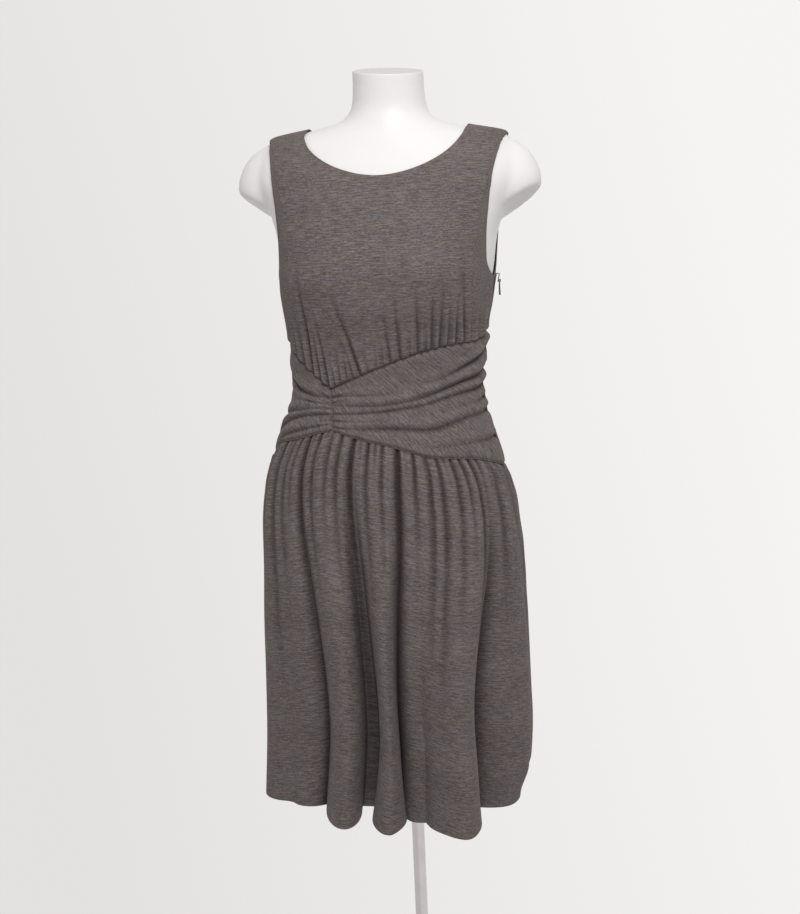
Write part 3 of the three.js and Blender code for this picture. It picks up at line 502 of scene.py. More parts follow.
def around(curves, turn, z, side):
    """A point of a level superellipse: its reach is half·|sin|^(2/power) and its depth is
    front·|cos|^(2/power) or back·|cos|^(2/power)."""
    at = {name: curve(z) for name, curve in curves.items()}
    angle = np.radians(turn)
    reach = np.sign(turn) * np.abs(np.sin(angle)) ** (2 / at["power"]) * at["half"]
    depth = at["front"] if side == FRONT else at["back"]
    return reach, at["cy"] + side * np.abs(np.cos(angle)) ** (2 / at["power"]) * depth, at


def turn_of_reach(reach, z):
    """The turn about the form at which its surface has a sideways reach."""
    share = np.clip(np.abs(reach) / FORM["half"](z), 0, 1)
    return np.sign(reach) * np.degrees(np.arcsin(share ** (FORM["power"](z) / 2)))


def bust_swell(reach, z):
    """How far the bust swells forward: two bells, joined by a lower one between them."""
    level = bell(z - BUST["z"], BUST["tall"])
    left, right = (bell(reach + hand * BUST["reach"], BUST["wide"]) for hand in (-1, 1))
    return BUST["rise"] * level * np.maximum(np.maximum(left, right), BUST["between"] * (left + right))


def form_surface(turn, z, side):
    """The form: a superellipse at each height, swollen at the bust, leaning a little sideways."""
    reach, y, at = around(FORM, turn, z, side)
    if side == FRONT:
        y = y - bust_swell(reach, z)
    return np.stack([at["cx"] + reach, y, z - LEAN * reach], -1)


def flare(z):
    """How far the skirt's gathers push the band out at a height."""
    return FLARE["rise"] * smoothstep(FLARE["top"] - z, 0, FLARE["top"] - FLARE["bottom"])


def lengths_along(points, axis):
    """Distance travelled along one axis of a grid of points, starting at 0."""
    steps = np.linalg.norm(np.diff(points, axis=axis), axis=-1)
    start = np.zeros_like(np.take(steps, [0], axis=axis))
    return np.concatenate([start, np.cumsum(steps, axis=axis)], axis=axis)


def from_middle(lengths):
    """Lengths along each row, counted from its middle column."""
    return lengths - lengths[:, lengths.shape[1] // 2][:, None]


def grid_normals(points, side):
    """Unit normals of a grid from the cross product of its two directions, facing away from the body."""
    across, up = np.gradient(points, axis=1), np.gradient(points, axis=0)
    return unit(np.cross(across, up) * (1 if side == FRONT else -1))


def unit(vectors):
    return vectors / np.maximum(np.linalg.norm(vectors, axis=-1, keepdims=True), 1e-9)


def turned_normals(normals, weight, keep):
    """Normals that lose the directions not kept, by a weight from 0 to 1 at each point."""
    return unit(lerp(normals, unit(normals * np.asarray(keep, float)), weight[..., None]))


def averaged(grid, reach):
    """Each point of a grid as the mean of its neighbours along the row, up to `reach` columns away."""
    padded = np.pad(grid, ((0, 0), (reach + 1, reach), (0, 0)), mode="edge")
    total = np.cumsum(padded, axis=1)
    return (total[:, 2 * reach + 1 :] - total[:, : -2 * reach - 1]) / (2 * reach + 1)


def uneven_shares(count, length, ends, tight):
    """Shares from 0 to 1 whose steps are `tight` times finer within `ends` of each end of `length`."""
    t = np.linspace(0, 1, 600)
    near = bell(t * length, ends) + bell((1 - t) * length, ends)
    done = np.cumsum(1 + (tight - 1) * near)
    done = (done - done[0]) / (done[-1] - done[0])
    return np.interp(np.linspace(0, 1, count), done, t)


def ripples(u, v, scale, seed, height):
    """A smooth uneven field: six waves with fixed pseudo-random directions and phases."""
    random = np.random.default_rng(seed)
    total = np.zeros(np.broadcast(u, v).shape)
    for _ in range(6):
        angle, phase = random.uniform(0, np.pi), random.uniform(0, 2 * np.pi)
        stretch = random.uniform(0.6, 1.5)
        wave = (u * np.cos(angle) + v * np.sin(angle)) / (scale * stretch)
        total = total + np.sin(2 * np.pi * wave + phase)
    return height * total / 6


def pleats(table, x, along, spread):
    """Height of a set of gathers. Across, each is a sharp valley, exp(-|u|^1.3), between two round
    ridges; along, it widens, drifts sideways and fades out over its length."""
    height = np.zeros(np.broadcast(x, along).shape)
    for start, drift, length, deep, width in table:
        gone = np.clip(along / length, 0, 1)
        u = np.abs(x - start - drift * gone) / (width * (1 + along / spread))
        height = height - deep * (1 - gone) * (np.exp(-(u**1.3)) - 0.34 * bell(u - 1.8, 0.9))
    return height


# ---- meshes
def linked_object(name, data):
    obj = bpy.data.objects.new(name, data)
    bpy.context.scene.collection.objects.link(obj)
    return obj


def fill(collection, key, values, kind=np.float32):
    """Gives every item of a mesh's collection its values at once."""
    collection.foreach_set(key, np.ascontiguousarray(values, dtype=kind).ravel())


def new_mesh_object(name, points, faces, uv=None, hollow=None):
    """A smooth mesh of quads from whole arrays; points are millimetres."""
    mesh = bpy.data.meshes.new(name)
    mesh.vertices.add(len(points))
    fill(mesh.vertices, "co", points * MM)
    mesh.loops.add(faces.size)
    fill(mesh.loops, "vertex_index", faces, np.int32)
    mesh.polygons.add(len(faces))
    fill(mesh.polygons, "loop_start", np.arange(0, faces.size, 4), np.int32)
    mesh.update(calc_edges=True)
    mesh.validate()
    mesh.shade_smooth()
    if uv is not None:
        corners = np.zeros(len(mesh.loops), np.int32)
        mesh.loops.foreach_get("vertex_index", corners)
        fill(mesh.uv_layers.new(name="cloth").data, "uv", uv[corners] * MM)
    # hollow is the mask of the painted shade that the knit material reads
    if hollow is not None:
        fill(mesh.attributes.new("hollow", "FLOAT", "POINT").data, "value", hollow)
    return linked_object(name, mesh)


def grid_faces(rows, columns, start, flip):
    """Quads of a grid of points whose first index is given."""
    r, c = np.meshgrid(np.arange(rows - 1), np.arange(columns - 1), indexing="ij")
    first = start + (r * columns + c).ravel()
    quads = np.stack([first, first + 1, first + columns + 1, first + columns], -1)
    return quads[:, ::-1] if flip else quads


def boundary_of(rows, columns):
    """Indices of a grid's outline, anticlockwise from its first corner."""
    index = np.arange(rows * columns).reshape(rows, columns)
    return np.concatenate([index[0, :-1], index[:-1, -1], index[-1, :0:-1], index[:0:-1, 0]])


def cloth_object(name, outer, side, thickness, uv, hollow):
    """A sheet of cloth: the outer grid, the same grid moved in by the thickness, and a round rim."""
    rows, columns = outer.shape[:2]
    normals = grid_normals(outer, side).reshape(-1, 3)
    flat = outer.reshape(-1, 3)
    inner = flat - normals * thickness
    loop = boundary_of(rows, columns)
    inside = np.clip(np.stack(np.divmod(loop, columns), -1), 1, [[rows - 2, columns - 2]])
    outwards = unit(flat[loop] - flat[inside[:, 0] * columns + inside[:, 1]])
    middle = (flat[loop] + inner[loop]) / 2
    round_edge = np.radians((45, 90, 135))
    rim = [middle + (normals[loop] * np.cos(a) + outwards * np.sin(a)) * thickness / 2 for a in round_edge]
    points = np.concatenate([flat, inner, *rim])
    count, edge = rows * columns, len(loop)
    rings = [loop, *(2 * count + k * edge + np.arange(edge) for k in range(len(rim))), count + loop]
    flip = side == BACK
    faces = [grid_faces(rows, columns, 0, flip), grid_faces(rows, columns, count, not flip)]
    for a, b in zip(rings[:-1], rings[1:]):
        quad = np.stack([a, b, np.roll(b, -1), np.roll(a, -1)], -1)
        faces.append(quad[:, ::-1] if flip else quad)
    everywhere = np.concatenate([np.arange(count), np.arange(count), *(loop for _ in rim)])
    both = uv.reshape(-1, 2)[everywhere], hollow.ravel()[everywhere]
    return new_mesh_object(name, points, np.concatenate(faces), *both)


def rings_object(name, rings):
    """Closed rings of points skinned into a surface."""
    rows, count = rings.shape[:2]
    r, c = np.meshgrid(np.arange(rows - 1), np.arange(count), indexing="ij")
    n = (c + 1) % count
    faces = np.stack([r * count + c, r * count + n, (r + 1) * count + n, (r + 1) * count + c], -1)
    obj = new_mesh_object(name, rings.reshape(-1, 3), faces.reshape(-1, 4))
    close_up(obj)
    return obj


def lathe_object(name, profile, segments):
    """A profile of (radius, height) pairs turned about the vertical axis through the origin."""
    profile = np.asarray(profile, float)
    angle = np.linspace(0, 2 * np.pi, segments, endpoint=False)
    radius, z = profile[:, :1], profile[:, 1:]
    x, y = radius * np.cos(angle), radius * np.sin(angle)
    return rings_object(name, np.stack([x, y, np.broadcast_to(z, x.shape)], -1))


def close_up(obj):
    """Merges doubled points, fills poles and makes the faces point outwards."""
    bm = bmesh.new()
    bm.from_mesh(obj.data)
    bmesh.ops.remove_doubles(bm, verts=bm.verts, dist=1e-6)
    bmesh.ops.dissolve_degenerate(bm, edges=bm.edges, dist=1e-7)
    bmesh.ops.recalc_face_normals(bm, faces=bm.faces)
    bm.to_mesh(obj.data)
    bm.free()
    obj.data.shade_smooth()


def finish_piece(obj, body, nodes, slot, material):
    """Gives an object its material, its body, its slot and the frame's nodes that it replaces."""
    obj.data.materials.clear()
    obj.data.materials.append(material)
    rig.ride(obj, body)
    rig.slot(obj, slot)
    if nodes:
        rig.replaces(obj, *nodes)


def apply_modifiers(obj):
    """Replaces an object's mesh by the one its modifiers make."""
    graph = bpy.context.evaluated_depsgraph_get()
    mesh = bpy.data.meshes.new_from_object(obj.evaluated_get(graph))
    obj.modifiers.clear()
    obj.data = mesh


# ---- cloth surfaces
def upper_edge(side_name, steps):
    """Reach and height of the bodice's upper edge at places counted in steps from the side seam.

    The edge is the armhole, then the shoulder, then the neckline, a superellipse scoop. In each
    stretch the places are evenly spread along the cloth.
    """
    counts = EDGE_STEPS[side_name]
    t = np.linspace(0, 1, 400)
    z_arm = lerp(UNDERARM_Z, SHOULDER["tip"], t)
    z_shoulder = lerp(SHOULDER["tip"], SHOULDER["neck"], t)
    low, power = NECKLINE[side_name]["low"], NECKLINE[side_name]["power"]
    swing = np.radians(90 * (1 - t))
    scoop_z = lerp(SHOULDER["neck"], low, np.abs(np.cos(swing)) ** (2 / power))
    scoop_reach = FORM["half"](SHOULDER["neck"]) * np.sin(swing) ** (2 / power)
    stretches = (
        (counts["armhole"], ARM_EDGE[side_name](z_arm), z_arm),
        (counts["shoulder"], FORM["half"](z_shoulder), z_shoulder),
        (counts["neckline"], scoop_reach, scoop_z),
    )
    reach, height, first = np.zeros_like(steps), np.zeros_like(steps), 0
    for count, along_reach, along_z in stretches:
        path = form_surface(turn_of_reach(along_reach, along_z), along_z, SIDES[side_name])
        travelled = lengths_along(path, 0)
        here = (steps >= first - 1e-9) & (steps <= first + count + 1e-9)
        share = np.clip((steps - first) / count, 0, 1) * travelled[-1]
        reach[here] = np.interp(share, travelled, along_reach)[here]
        height[here] = np.interp(share, travelled, along_z)[here]
        first += count
    return reach, height


def strap_corners(side_name):
    """Places, in steps from the side seam, of the strap's tip and of its corner at the neck."""
    counts = EDGE_STEPS[side_name]
    return counts["armhole"], counts["armhole"] + counts["shoulder"]


def corner_bulge(step, t, counts):
    """Sideways swing near their upper ends of the columns that end near a corner of the strap."""
    neck = bell(step - counts["armhole"] - counts["shoulder"], CORNER["neck_spread"]) * CORNER["neck"]
    tip = bell(step - counts["armhole"], CORNER["tip_spread"]) * CORNER["tip"]
    return (neck - tip) * t ** CORNER["power"] * np.sqrt(1 - t) * CORNER["peak"]


def bodice_places(side_name, per_step, rows):
    """Turn and height on the form for each point of a bodice panel, and the place of each column in
    steps. The columns that end at a corner of the strap are evened out with their neighbours."""
    side, counts = SIDES[side_name], EDGE_STEPS[side_name]
    half = sum(counts.values())
    place = np.linspace(0, 2 * half, 2 * half * per_step + 1)
    step, hand = np.minimum(place, 2 * half - place), np.where(place < half, -1.0, 1.0)
    share = place / (2 * half)
    if side_name == "front":
        right = lerp(-90, V_TURN["top"], share / V_SHARE)
        left = lerp(V_TURN["top"], 90, (share - V_SHARE) / (1 - V_SHARE))
        start_turn = np.where(share <= V_SHARE, right, left)
    else:
        start_turn = lerp(-90, 90, share)
    start_z = seam_height(SEAM_TOP, start_turn, V_TURN["top"], side_name) - UNDERLAP
    edge_reach, edge_z = upper_edge(side_name, step)
    start_reach = around(FORM, start_turn, start_z, side)[0]
    t = np.linspace(0, 1, 240)[:, None]
    z = lerp(start_z, edge_z, t)
    rising = lerp(start_reach, hand * edge_reach, t**COLUMN_BEND) + hand * corner_bulge(step, t, counts)
    turn = turn_of_reach(rising, z)
    turn = turn + hand * (90 - np.abs(turn)) * np.clip(1 - step, 0, 1) ** 1.5
    travelled = lengths_along(form_surface(turn, z, side), 0)
    shares = uneven_shares(rows, length=270, ends=9, tight=4)
    fine = np.empty((2, rows, len(place)))
    for c in range(len(place)):
        at = shares * travelled[-1, c]
        fine[0, :, c] = np.interp(at, travelled[:, c], turn[:, c])
        fine[1, :, c] = np.interp(at, travelled[:, c], z[:, c])
    tip, neck = strap_corners(side_name)
    near = np.max([bell(step - corner, CORNER_EVENING["spread"]) for corner in (tip, neck)], axis=0)
    high = smoothstep(np.linspace(0, 1, rows), CORNER_EVENING["from"], CORNER_EVENING["to"])
    weight = (near * high[:, None])[1:-1, 1:-1]
    for _ in range(CORNER_EVENING["rounds"]):
        inner = fine[:, 1:-1, 1:-1]
        inner += ((fine[:, 1:-1, 2:] + fine[:, 1:-1, :-2]) / 2 - inner) * weight
    return fine[0], fine[1], step


def distances_to(grid, line):
    """Distance from each point of a grid to the nearest point of a line."""
    return np.stack([np.linalg.norm(row[:, None] - line[None], axis=-1).min(axis=1) for row in grid])


def bodice_surface(side_name, per_step, rows, depth):
    """The bodice: the form's surface lifted along its normals, drawn down to it along the upper edge
    and into a ditch along each seam, with gathers that rise from the band seam and die out.

    Also returns the cloth's own coordinates and how hollow each point lies among the gathers, the mask of the painted
    shade that darkens the knit there.
    """
    side = SIDES[side_name]
    turn, z, step = bodice_places(side_name, per_step, rows)
    base = form_surface(turn, z, side)
    up = lengths_along(base, 0) - UNDERLAP
    from_seam, from_edge = np.maximum(up, 0), distances_to(base, base[-1])
    across = lengths_along(base, 1)
    from_side = np.minimum(across, across[:, -1:] - across)
    tip, neck = strap_corners(side_name)
    on_shoulder = smoothstep(step, tip - STRAP_FADE, tip) * (1 - smoothstep(step, neck, neck + STRAP_FADE))
    normals = turned_normals(grid_normals(base, side), bell(from_seam, SEAM_ROLL), (1, 1, 0))
    below_arm = 1 - smoothstep(z, *ARM_FADE)
    normals = turned_normals(normals, bell(from_side, SEAM_ROLL) * below_arm, (1, 0, 0))
    normals = turned_normals(normals, bell(from_edge, 12) * on_shoulder, (1, 0, 1))
    lift = np.full(turn.shape, EASE + WALL)
    at_strap = lerp(1, EDGE_DROP["on_strap"], on_shoulder)
    lift -= EDGE_DROP["depth"] * bell(from_edge, EDGE_DROP["reach"]) * at_strap
    gathers = BLOUSE["rise"] * np.exp(-from_seam / BLOUSE["fade"]) * (1 - bell(from_side, 18))
    x = base[..., 0]
    if side_name == "front":
        valleys = BODICE_GATHER * pleats(BODICE_VALLEYS, x, from_seam, BODICE_SPREAD)
        gathers += valleys * (1 - bell(from_side, 12))
        by_the_arm = smoothstep(z, *ARM_PUFF["from"]) * (1 - smoothstep(z, *ARM_PUFF["to"]))
        gathers += ARM_PUFF["rise"] * by_the_arm * bell(from_side - ARM_PUFF["in"], ARM_PUFF["spread"])
    else:
        waves = 1.8 * cosine(x + ripples(x, z, 60, 4, 3), 13) - 0.6
        gathers += waves * np.exp(-from_seam / 34) * (1 - bell(from_side, 26))
    lift += depth * gathers
    lift += ripples(x, z, 95, SEEDS["bodice"][side_name], 0.5) * (1 - bell(from_edge, 25))
    lift = lerp(lift, TUCKED, bell(from_seam, DITCH))
    lift -= 1.0 * bell(from_side, 2.2) * below_arm * smoothstep(from_seam, 2, 8)
    points = base + normals * lift[..., None]
    level = np.array([np.interp(1200, z[:, c], up[:, c]) for c in range(z.shape[1])])
    uv = np.stack([from_middle(across), up - level], -1)
    # the last array is the mask of the painted shade in the gathers
    return points, uv, np.clip(-gathers / FULL_SHADE_DEPTH["bodice"], 0, 1)


def band_surface(key, columns, rows, depth):
    """A piece of the band: the form's surface between the two seams, lifted, with rolled edges and
    creases that run along it. Each crease is a sharp valley, -exp(-|u|^1.25), with a soft lip above
    it and a lower one below. Also returns the cloth's own coordinates and how hollow each point lies, the mask of the
    painted shade in the creases."""
    side_name = "back" if key == "back" else "front"
    side = SIDES[side_name]
    ends = {
        "right": ((-90, V_TURN["top"]), (-90, V_TURN["bottom"])),
        "left": ((V_TURN["top"], 90), (V_TURN["bottom"], 90)),
        "back": ((-90, 90), (-90, 90)),
    }[key]
    a = uneven_shares(columns, length=130 if key == "right" else 330, ends=6, tight=3)[None, :]
    b = uneven_shares(rows, length=150, ends=7, tight=3)[:, None]
    top_turn, bottom_turn = lerp(*ends[0], a), lerp(*ends[1], a)
    top_z, bottom_z = SEAM_TOP[key](top_turn), SEAM_BOTTOM[key](bottom_turn)
    turn, z = lerp(bottom_turn, top_turn, b), lerp(bottom_z, top_z, b)
    base = form_surface(turn, z, side)
    up, across = lengths_along(base, 0), lengths_along(base, 1)
    height = up[-1:]
    from_seam = np.minimum(up, height - up)
    from_end = np.minimum(across, across[:, -1:] - across)
    at_v = {"right": across[:, -1:] - across, "left": across, "back": across + 1e3}[key]
    normals = turned_normals(grid_normals(base, side), bell(from_seam, SEAM_ROLL), (1, 1, 0))
    side_edge = np.where(at_v < V_REACH, 0, bell(from_end, SEAM_ROLL))
    normals = turned_normals(normals, side_edge, (1, 0, 0))
    lift = np.full(turn.shape, EASE + WALL + BAND_PROUD)
    total = np.zeros(turn.shape)
    narrow = lerp(V_PINCH["share"], 1, smoothstep(at_v, 0, V_PINCH["reach"]))
    for heights, strengths, width in CREASES[key]:
        line = smooth_curve(CREASE_PLACES, heights)(a)
        strength = smooth_curve(CREASE_PLACES, strengths)(a)
        away = (b - line) * height / width
        valley = -np.exp(-np.abs(away / narrow) ** 1.25)
        lips = sum(rise * bell(away - place, spread) for rise, place, spread in CREASE_LIPS)
        total += strength * (valley + lips) * narrow
    lift += depth * CREASE_DEPTH * total * smoothstep(from_seam, 0, 6)
    tight = bell(at_v, V_PLEATS["reach"]) * V_PLEATS["rise"]
    lift += depth * tight * cosine(b * V_PLEATS["count"] + ripples(a, b, 1.2, 21, 0.2), 1)
    lift += ripples(across, up, 70, SEEDS["band"][key], 0.6)
    edge = np.maximum(bell(from_seam, 2.4), bell(from_end, 2.4) * np.where(from_end < at_v - 1, 0.6, 1))
    lift = lerp(lift, BAND_EDGE, edge) + flare(base[..., 2])
    points = base + normals * lift[..., None]
    # the last array is the mask of the painted shade in the creases
    return points, np.stack([across, up], -1), np.clip(-total, 0, 1)


def skirt_gathers(side_name, x, along):
    """Height of the small gathers, each of which starts at an x and fades out down the skirt."""
    if side_name == "front":
        height = SKIRT_GATHER * pleats(SKIRT_VALLEYS, x, along, SKIRT_SPREAD)
    else:
        height = 3.0 * cosine(x + ripples(x, along, 90, 6, 5), 14.5) * np.exp(-along / 110)
        height += 2.4 * cosine(x + 9, 31) * np.exp(-along / 300)
    return height + 2.0 * cosine(x + ripples(x, along, 50, 7, 3), 9) * np.exp(-along / 22)


def skirt_surface(side_name, per_fold, rows, depth):
    """The skirt: a level superellipse at each height for the valleys, with folds that grow towards the
    hem as half sine waves leaning sideways, and small gathers under the band that run into them.

    Also returns the cloth's own coordinates and how hollow each point lies: in the small gathers,
    and along the floor of each fold whose valley doesn't rise. This is the mask of the painted shade that darkens the
    knit there.
    """
    side = SIDES[side_name]
    fold = dict(zip(FOLD_COLUMNS, np.asarray(FOLDS[side_name], float).T))
    count = len(fold["top"]) - 1
    f = np.linspace(0, count, count * per_fold + 1)
    i = np.minimum(f.astype(int), count - 1)
    across = f - i
    top, hem, rise = (lerp(fold[key][i], fold[key][i + 1], across) for key in ("top", "hem", "rise"))
    arch = np.sin(np.pi * across)
    crest = np.maximum(fold["ridge"][i] - rise, 0) * arch
    shares = uneven_shares(rows, length=500, ends=9, tight=4)[:, None]
    down = shares**1.12
    deep = down**FOLD_GROWTH + EARLY_FOLD * smoothstep(down, 0, 0.09) * (1 - down)
    seam_z = seam_height(SEAM_BOTTOM, top, V_TURN["bottom"], side_name)
    z = lerp(seam_z + UNDERLAP, HEM_Z, down)
    swell = -np.sin(2 * np.pi * across) * FOLD_BULGE * deep * (fold["hem"][i + 1] - fold["hem"][i])
    turn = np.clip(lerp(top, hem, smoothstep(down, 0, FOLDS_PLACED)) + swell, -90, 90)
    start_turn = np.broadcast_to(top, turn.shape)
    body_reach, body_y, body = around(FORM, start_turn, z, side)
    reach, y, at = around(SKIRT, turn, z, side)
    settle = smoothstep(down, 0, SETTLED)
    reach = lerp(body_reach, reach, settle)
    y = lerp(body_y, y, settle)
    centre = lerp(body["cx"], at["cx"], settle)
    height = deep * (rise + crest)
    lift = HEM_LIFT * down**4 * (1 - smoothstep(height, -12, 92))
    base = np.stack([centre + reach, y, z - LEAN * reach + lift], -1)
    level = turned_normals(grid_normals(base[::-1], side)[::-1], np.ones(turn.shape), (1, 1, 0))
    level = turned_normals(level, bell(90 - np.abs(turn), 5), (1, 0, 0))
    base[..., 0] += deep * fold["lean"][i] * arch
    tuck = smoothstep(down, 0.9, 1) * smoothstep(turn, *TUCK_TURNS)
    base += tuck[..., None] * SIDE_TUCK
    along = np.maximum(lengths_along(base, 0) - UNDERLAP, 0)
    top_x = np.broadcast_to(base[0:1, :, 0], turn.shape)
    small = skirt_gathers(side_name, top_x, along)
    puff = lerp(*PUFF["rise"], smoothstep(top_x, *PUFF["from_to"]))
    pushed = flare(seam_z - LEAN * body_reach[:1]) * (1 - settle)
    puffed = puff * smoothstep(along, -4, 22) * np.exp(-along / PUFF["fade"])
    out = EASE + WALL + pushed + height + depth * (small + puffed)
    waves = ripples(top_x * 1.3, along * 0.35, 60, SEEDS["skirt"][side_name], 1.2)
    out += waves * smoothstep(down, 0.05, 0.4)
    out = lerp(out, TUCKED + pushed, bell(along, DITCH))
    points = base + level * out[..., None]
    inner_rise = fold["rise"][1:-1]
    ridges = np.flatnonzero((inner_rise > 0) | (np.arange(1, count) == 1)) + 1
    near = np.max(bell(f[None, :] - ridges[:, None], 0.25), axis=0)
    points = lerp(points, averaged(points, per_fold // 5), near[None, :, None])
    uv = np.stack([from_middle(lengths_along(points, 1)), -along], -1)
    hollow = np.clip(-small / FULL_SHADE_DEPTH["skirt"], 0, 1)
    # painted shade along the floor of each fold whose valley doesn't rise
    floors = np.flatnonzero(inner_rise == 0) + 1
    fold_floor_shade = np.max(bell(f[None, :] - floors[:, None], 0.12), axis=0)
    hollow = np.maximum(hollow, 0.95 * fold_floor_shade * smoothstep(down, 0.05, 0.4))
    return points[::-1], uv[::-1], hollow[::-1]


# ---- the form
def form_rings(levels, count):
    """Rings of the form at some heights. The neck's rings tip forward and drop to one side."""
    turn = np.linspace(-180, 180, count, endpoint=False)[None, :]
    front = np.abs(turn) <= 90
    from_face = np.where(front, turn, np.sign(turn) * 180 - turn)
    z = np.asarray(levels, float)[:, None]
    z, from_face, front = np.broadcast_arrays(z, from_face, front)
    faces = [form_surface(from_face, z, side) for side in (FRONT, BACK)]
    points = np.where(front[..., None], *faces)
    tilt = NECK_TILT * smoothstep(z, *NECK_TURNS["tilt"])
    points[..., 2] += (points[..., 1] - FORM["cy"](z)) * tilt
    points[..., 2] -= (points[..., 0] - FORM["cx"](z)) * NECK_SLANT * smoothstep(z, *NECK_TURNS["slant"])
    return points


def neck_cap_rings():
    """The end of the neck: a plug whose wall comes out of the shell at a very flat angle, so that no
    step shows, with a rounded edge and a slightly dished top."""
    walls = form_rings(PLUG_LEVELS, RING_POINTS["plug"])
    under = [shrunk(walls[0], share, 0) for share in (0.2, 0.7, 0.96)]
    shares = np.linspace(*PLUG_SHARES, len(walls))
    outer = [shrunk(ring, share, 0) for ring, share in zip(walls, shares)]
    rounded_edge = ((1.002, 0.5), (0.994, 0.9), (0.982, 1), (0.965, 0.8))
    dish = ((0.94, 0.3), (0.9, 0), (0.5, -0.2), (0.2, -0.3))
    return np.stack([*under, *outer, *(shrunk(walls[-1], *step) for step in (*rounded_edge, *dish))])


def shrunk(ring, amount, shift):
    """A ring drawn in to a share of its size and moved up."""
    middle = ring.mean(0)
    return middle + (ring - middle) * amount + np.array([0, 0, shift])


def closed_rings_object(name, rings):
    """Rings skinned into a closed surface, with a pole at each end."""
    return rings_object(name, np.stack([shrunk(rings[0], 0, 0), *rings, shrunk(rings[-1], 0, 0)]))


def stub_rings(hand):
    """The blunt end of an arm: an ellipsoid of slightly pointed sections, cut off below by a plane
    that slopes up outwards and forwards."""
    apart, reach, power = STUB["apart"], STUB["reach"], STUB["power"]
    centre = np.array([STUB["cx"] + hand * apart, STUB["cy"], STUB["z"] - LEAN * hand * apart])
    out = np.concatenate([[-0.55, -0.3], np.sin(np.linspace(0, np.pi / 2 - 0.03, 26))])[:, None]
    angle = np.linspace(0, 2 * np.pi, RING_POINTS["stub"], endpoint=False)[None, :]
    scale = np.where(out < 0, 1, np.sqrt(np.maximum(1 - out * out, 0)))
    c, s = np.cos(angle), np.sin(angle)
    x = centre[0] + hand * out * reach + 0 * angle
    y = centre[1] + STUB["deep"] * scale * np.sign(c) * np.abs(c) ** power
    z = centre[2] + STUB["tall"] * scale * np.sign(s) * np.abs(s) ** power
    slope = STUB_CUT["fall"] * (1 - hand * (x - centre[0]) / reach)
    cut = centre[2] - STUB_CUT["below"] - slope + STUB_CUT["forward"] * (centre[1] - y)
    return np.stack([x, y, np.maximum(z, cut)], -1)


# ---- the stand
RUNNING_GAP = 0.3
FLOOR_Z = -0.5
POLE_RADIUS = 9
BASE = {"radius": 170, "thickness": 8, "edge": 3}
COLLAR = {"radius": 22, "height": 34, "step": 7, "foot": 6, "waist": 10}
SOCKET = {"radius": 18, "flange": 42, "height": 36, "lip": 5}


def form_foot(radius):
    """Lowest height of the form's foot within a radius of the pole's axis."""
    z, cx = FORM_SECTIONS[0][:2]
    return z - LEAN * (radius - cx)


def rounded(corners, radius, steps=6):
    """A profile whose inner corners are replaced by arcs (quadratic curves that touch both sides)."""
    corners = np.asarray(corners, float)
    path = [corners[:1]]
    for before, corner, after in zip(corners[:-2], corners[1:-1], corners[2:]):
        a, b = before - corner, after - corner
        reach = min(radius, 0.45 * np.linalg.norm(a), 0.45 * np.linalg.norm(b))
        start, end = corner + unit(a) * reach, corner + unit(b) * reach
        t = np.linspace(0, 1, steps)[:, None]
        path.append((1 - t) ** 2 * start + 2 * t * (1 - t) * corner + t**2 * end)
    path.append(corners[-1:])
    return np.concatenate(path)


def tube_profile(bore, outside):
    """A closed profile round a bore; its outer corners are given from the bottom up."""
    low, high = outside[0][1], outside[-1][1]
    half_way = (bore, (low + high) / 2)
    return [half_way, (bore, low), *outside, (bore, high), half_way]


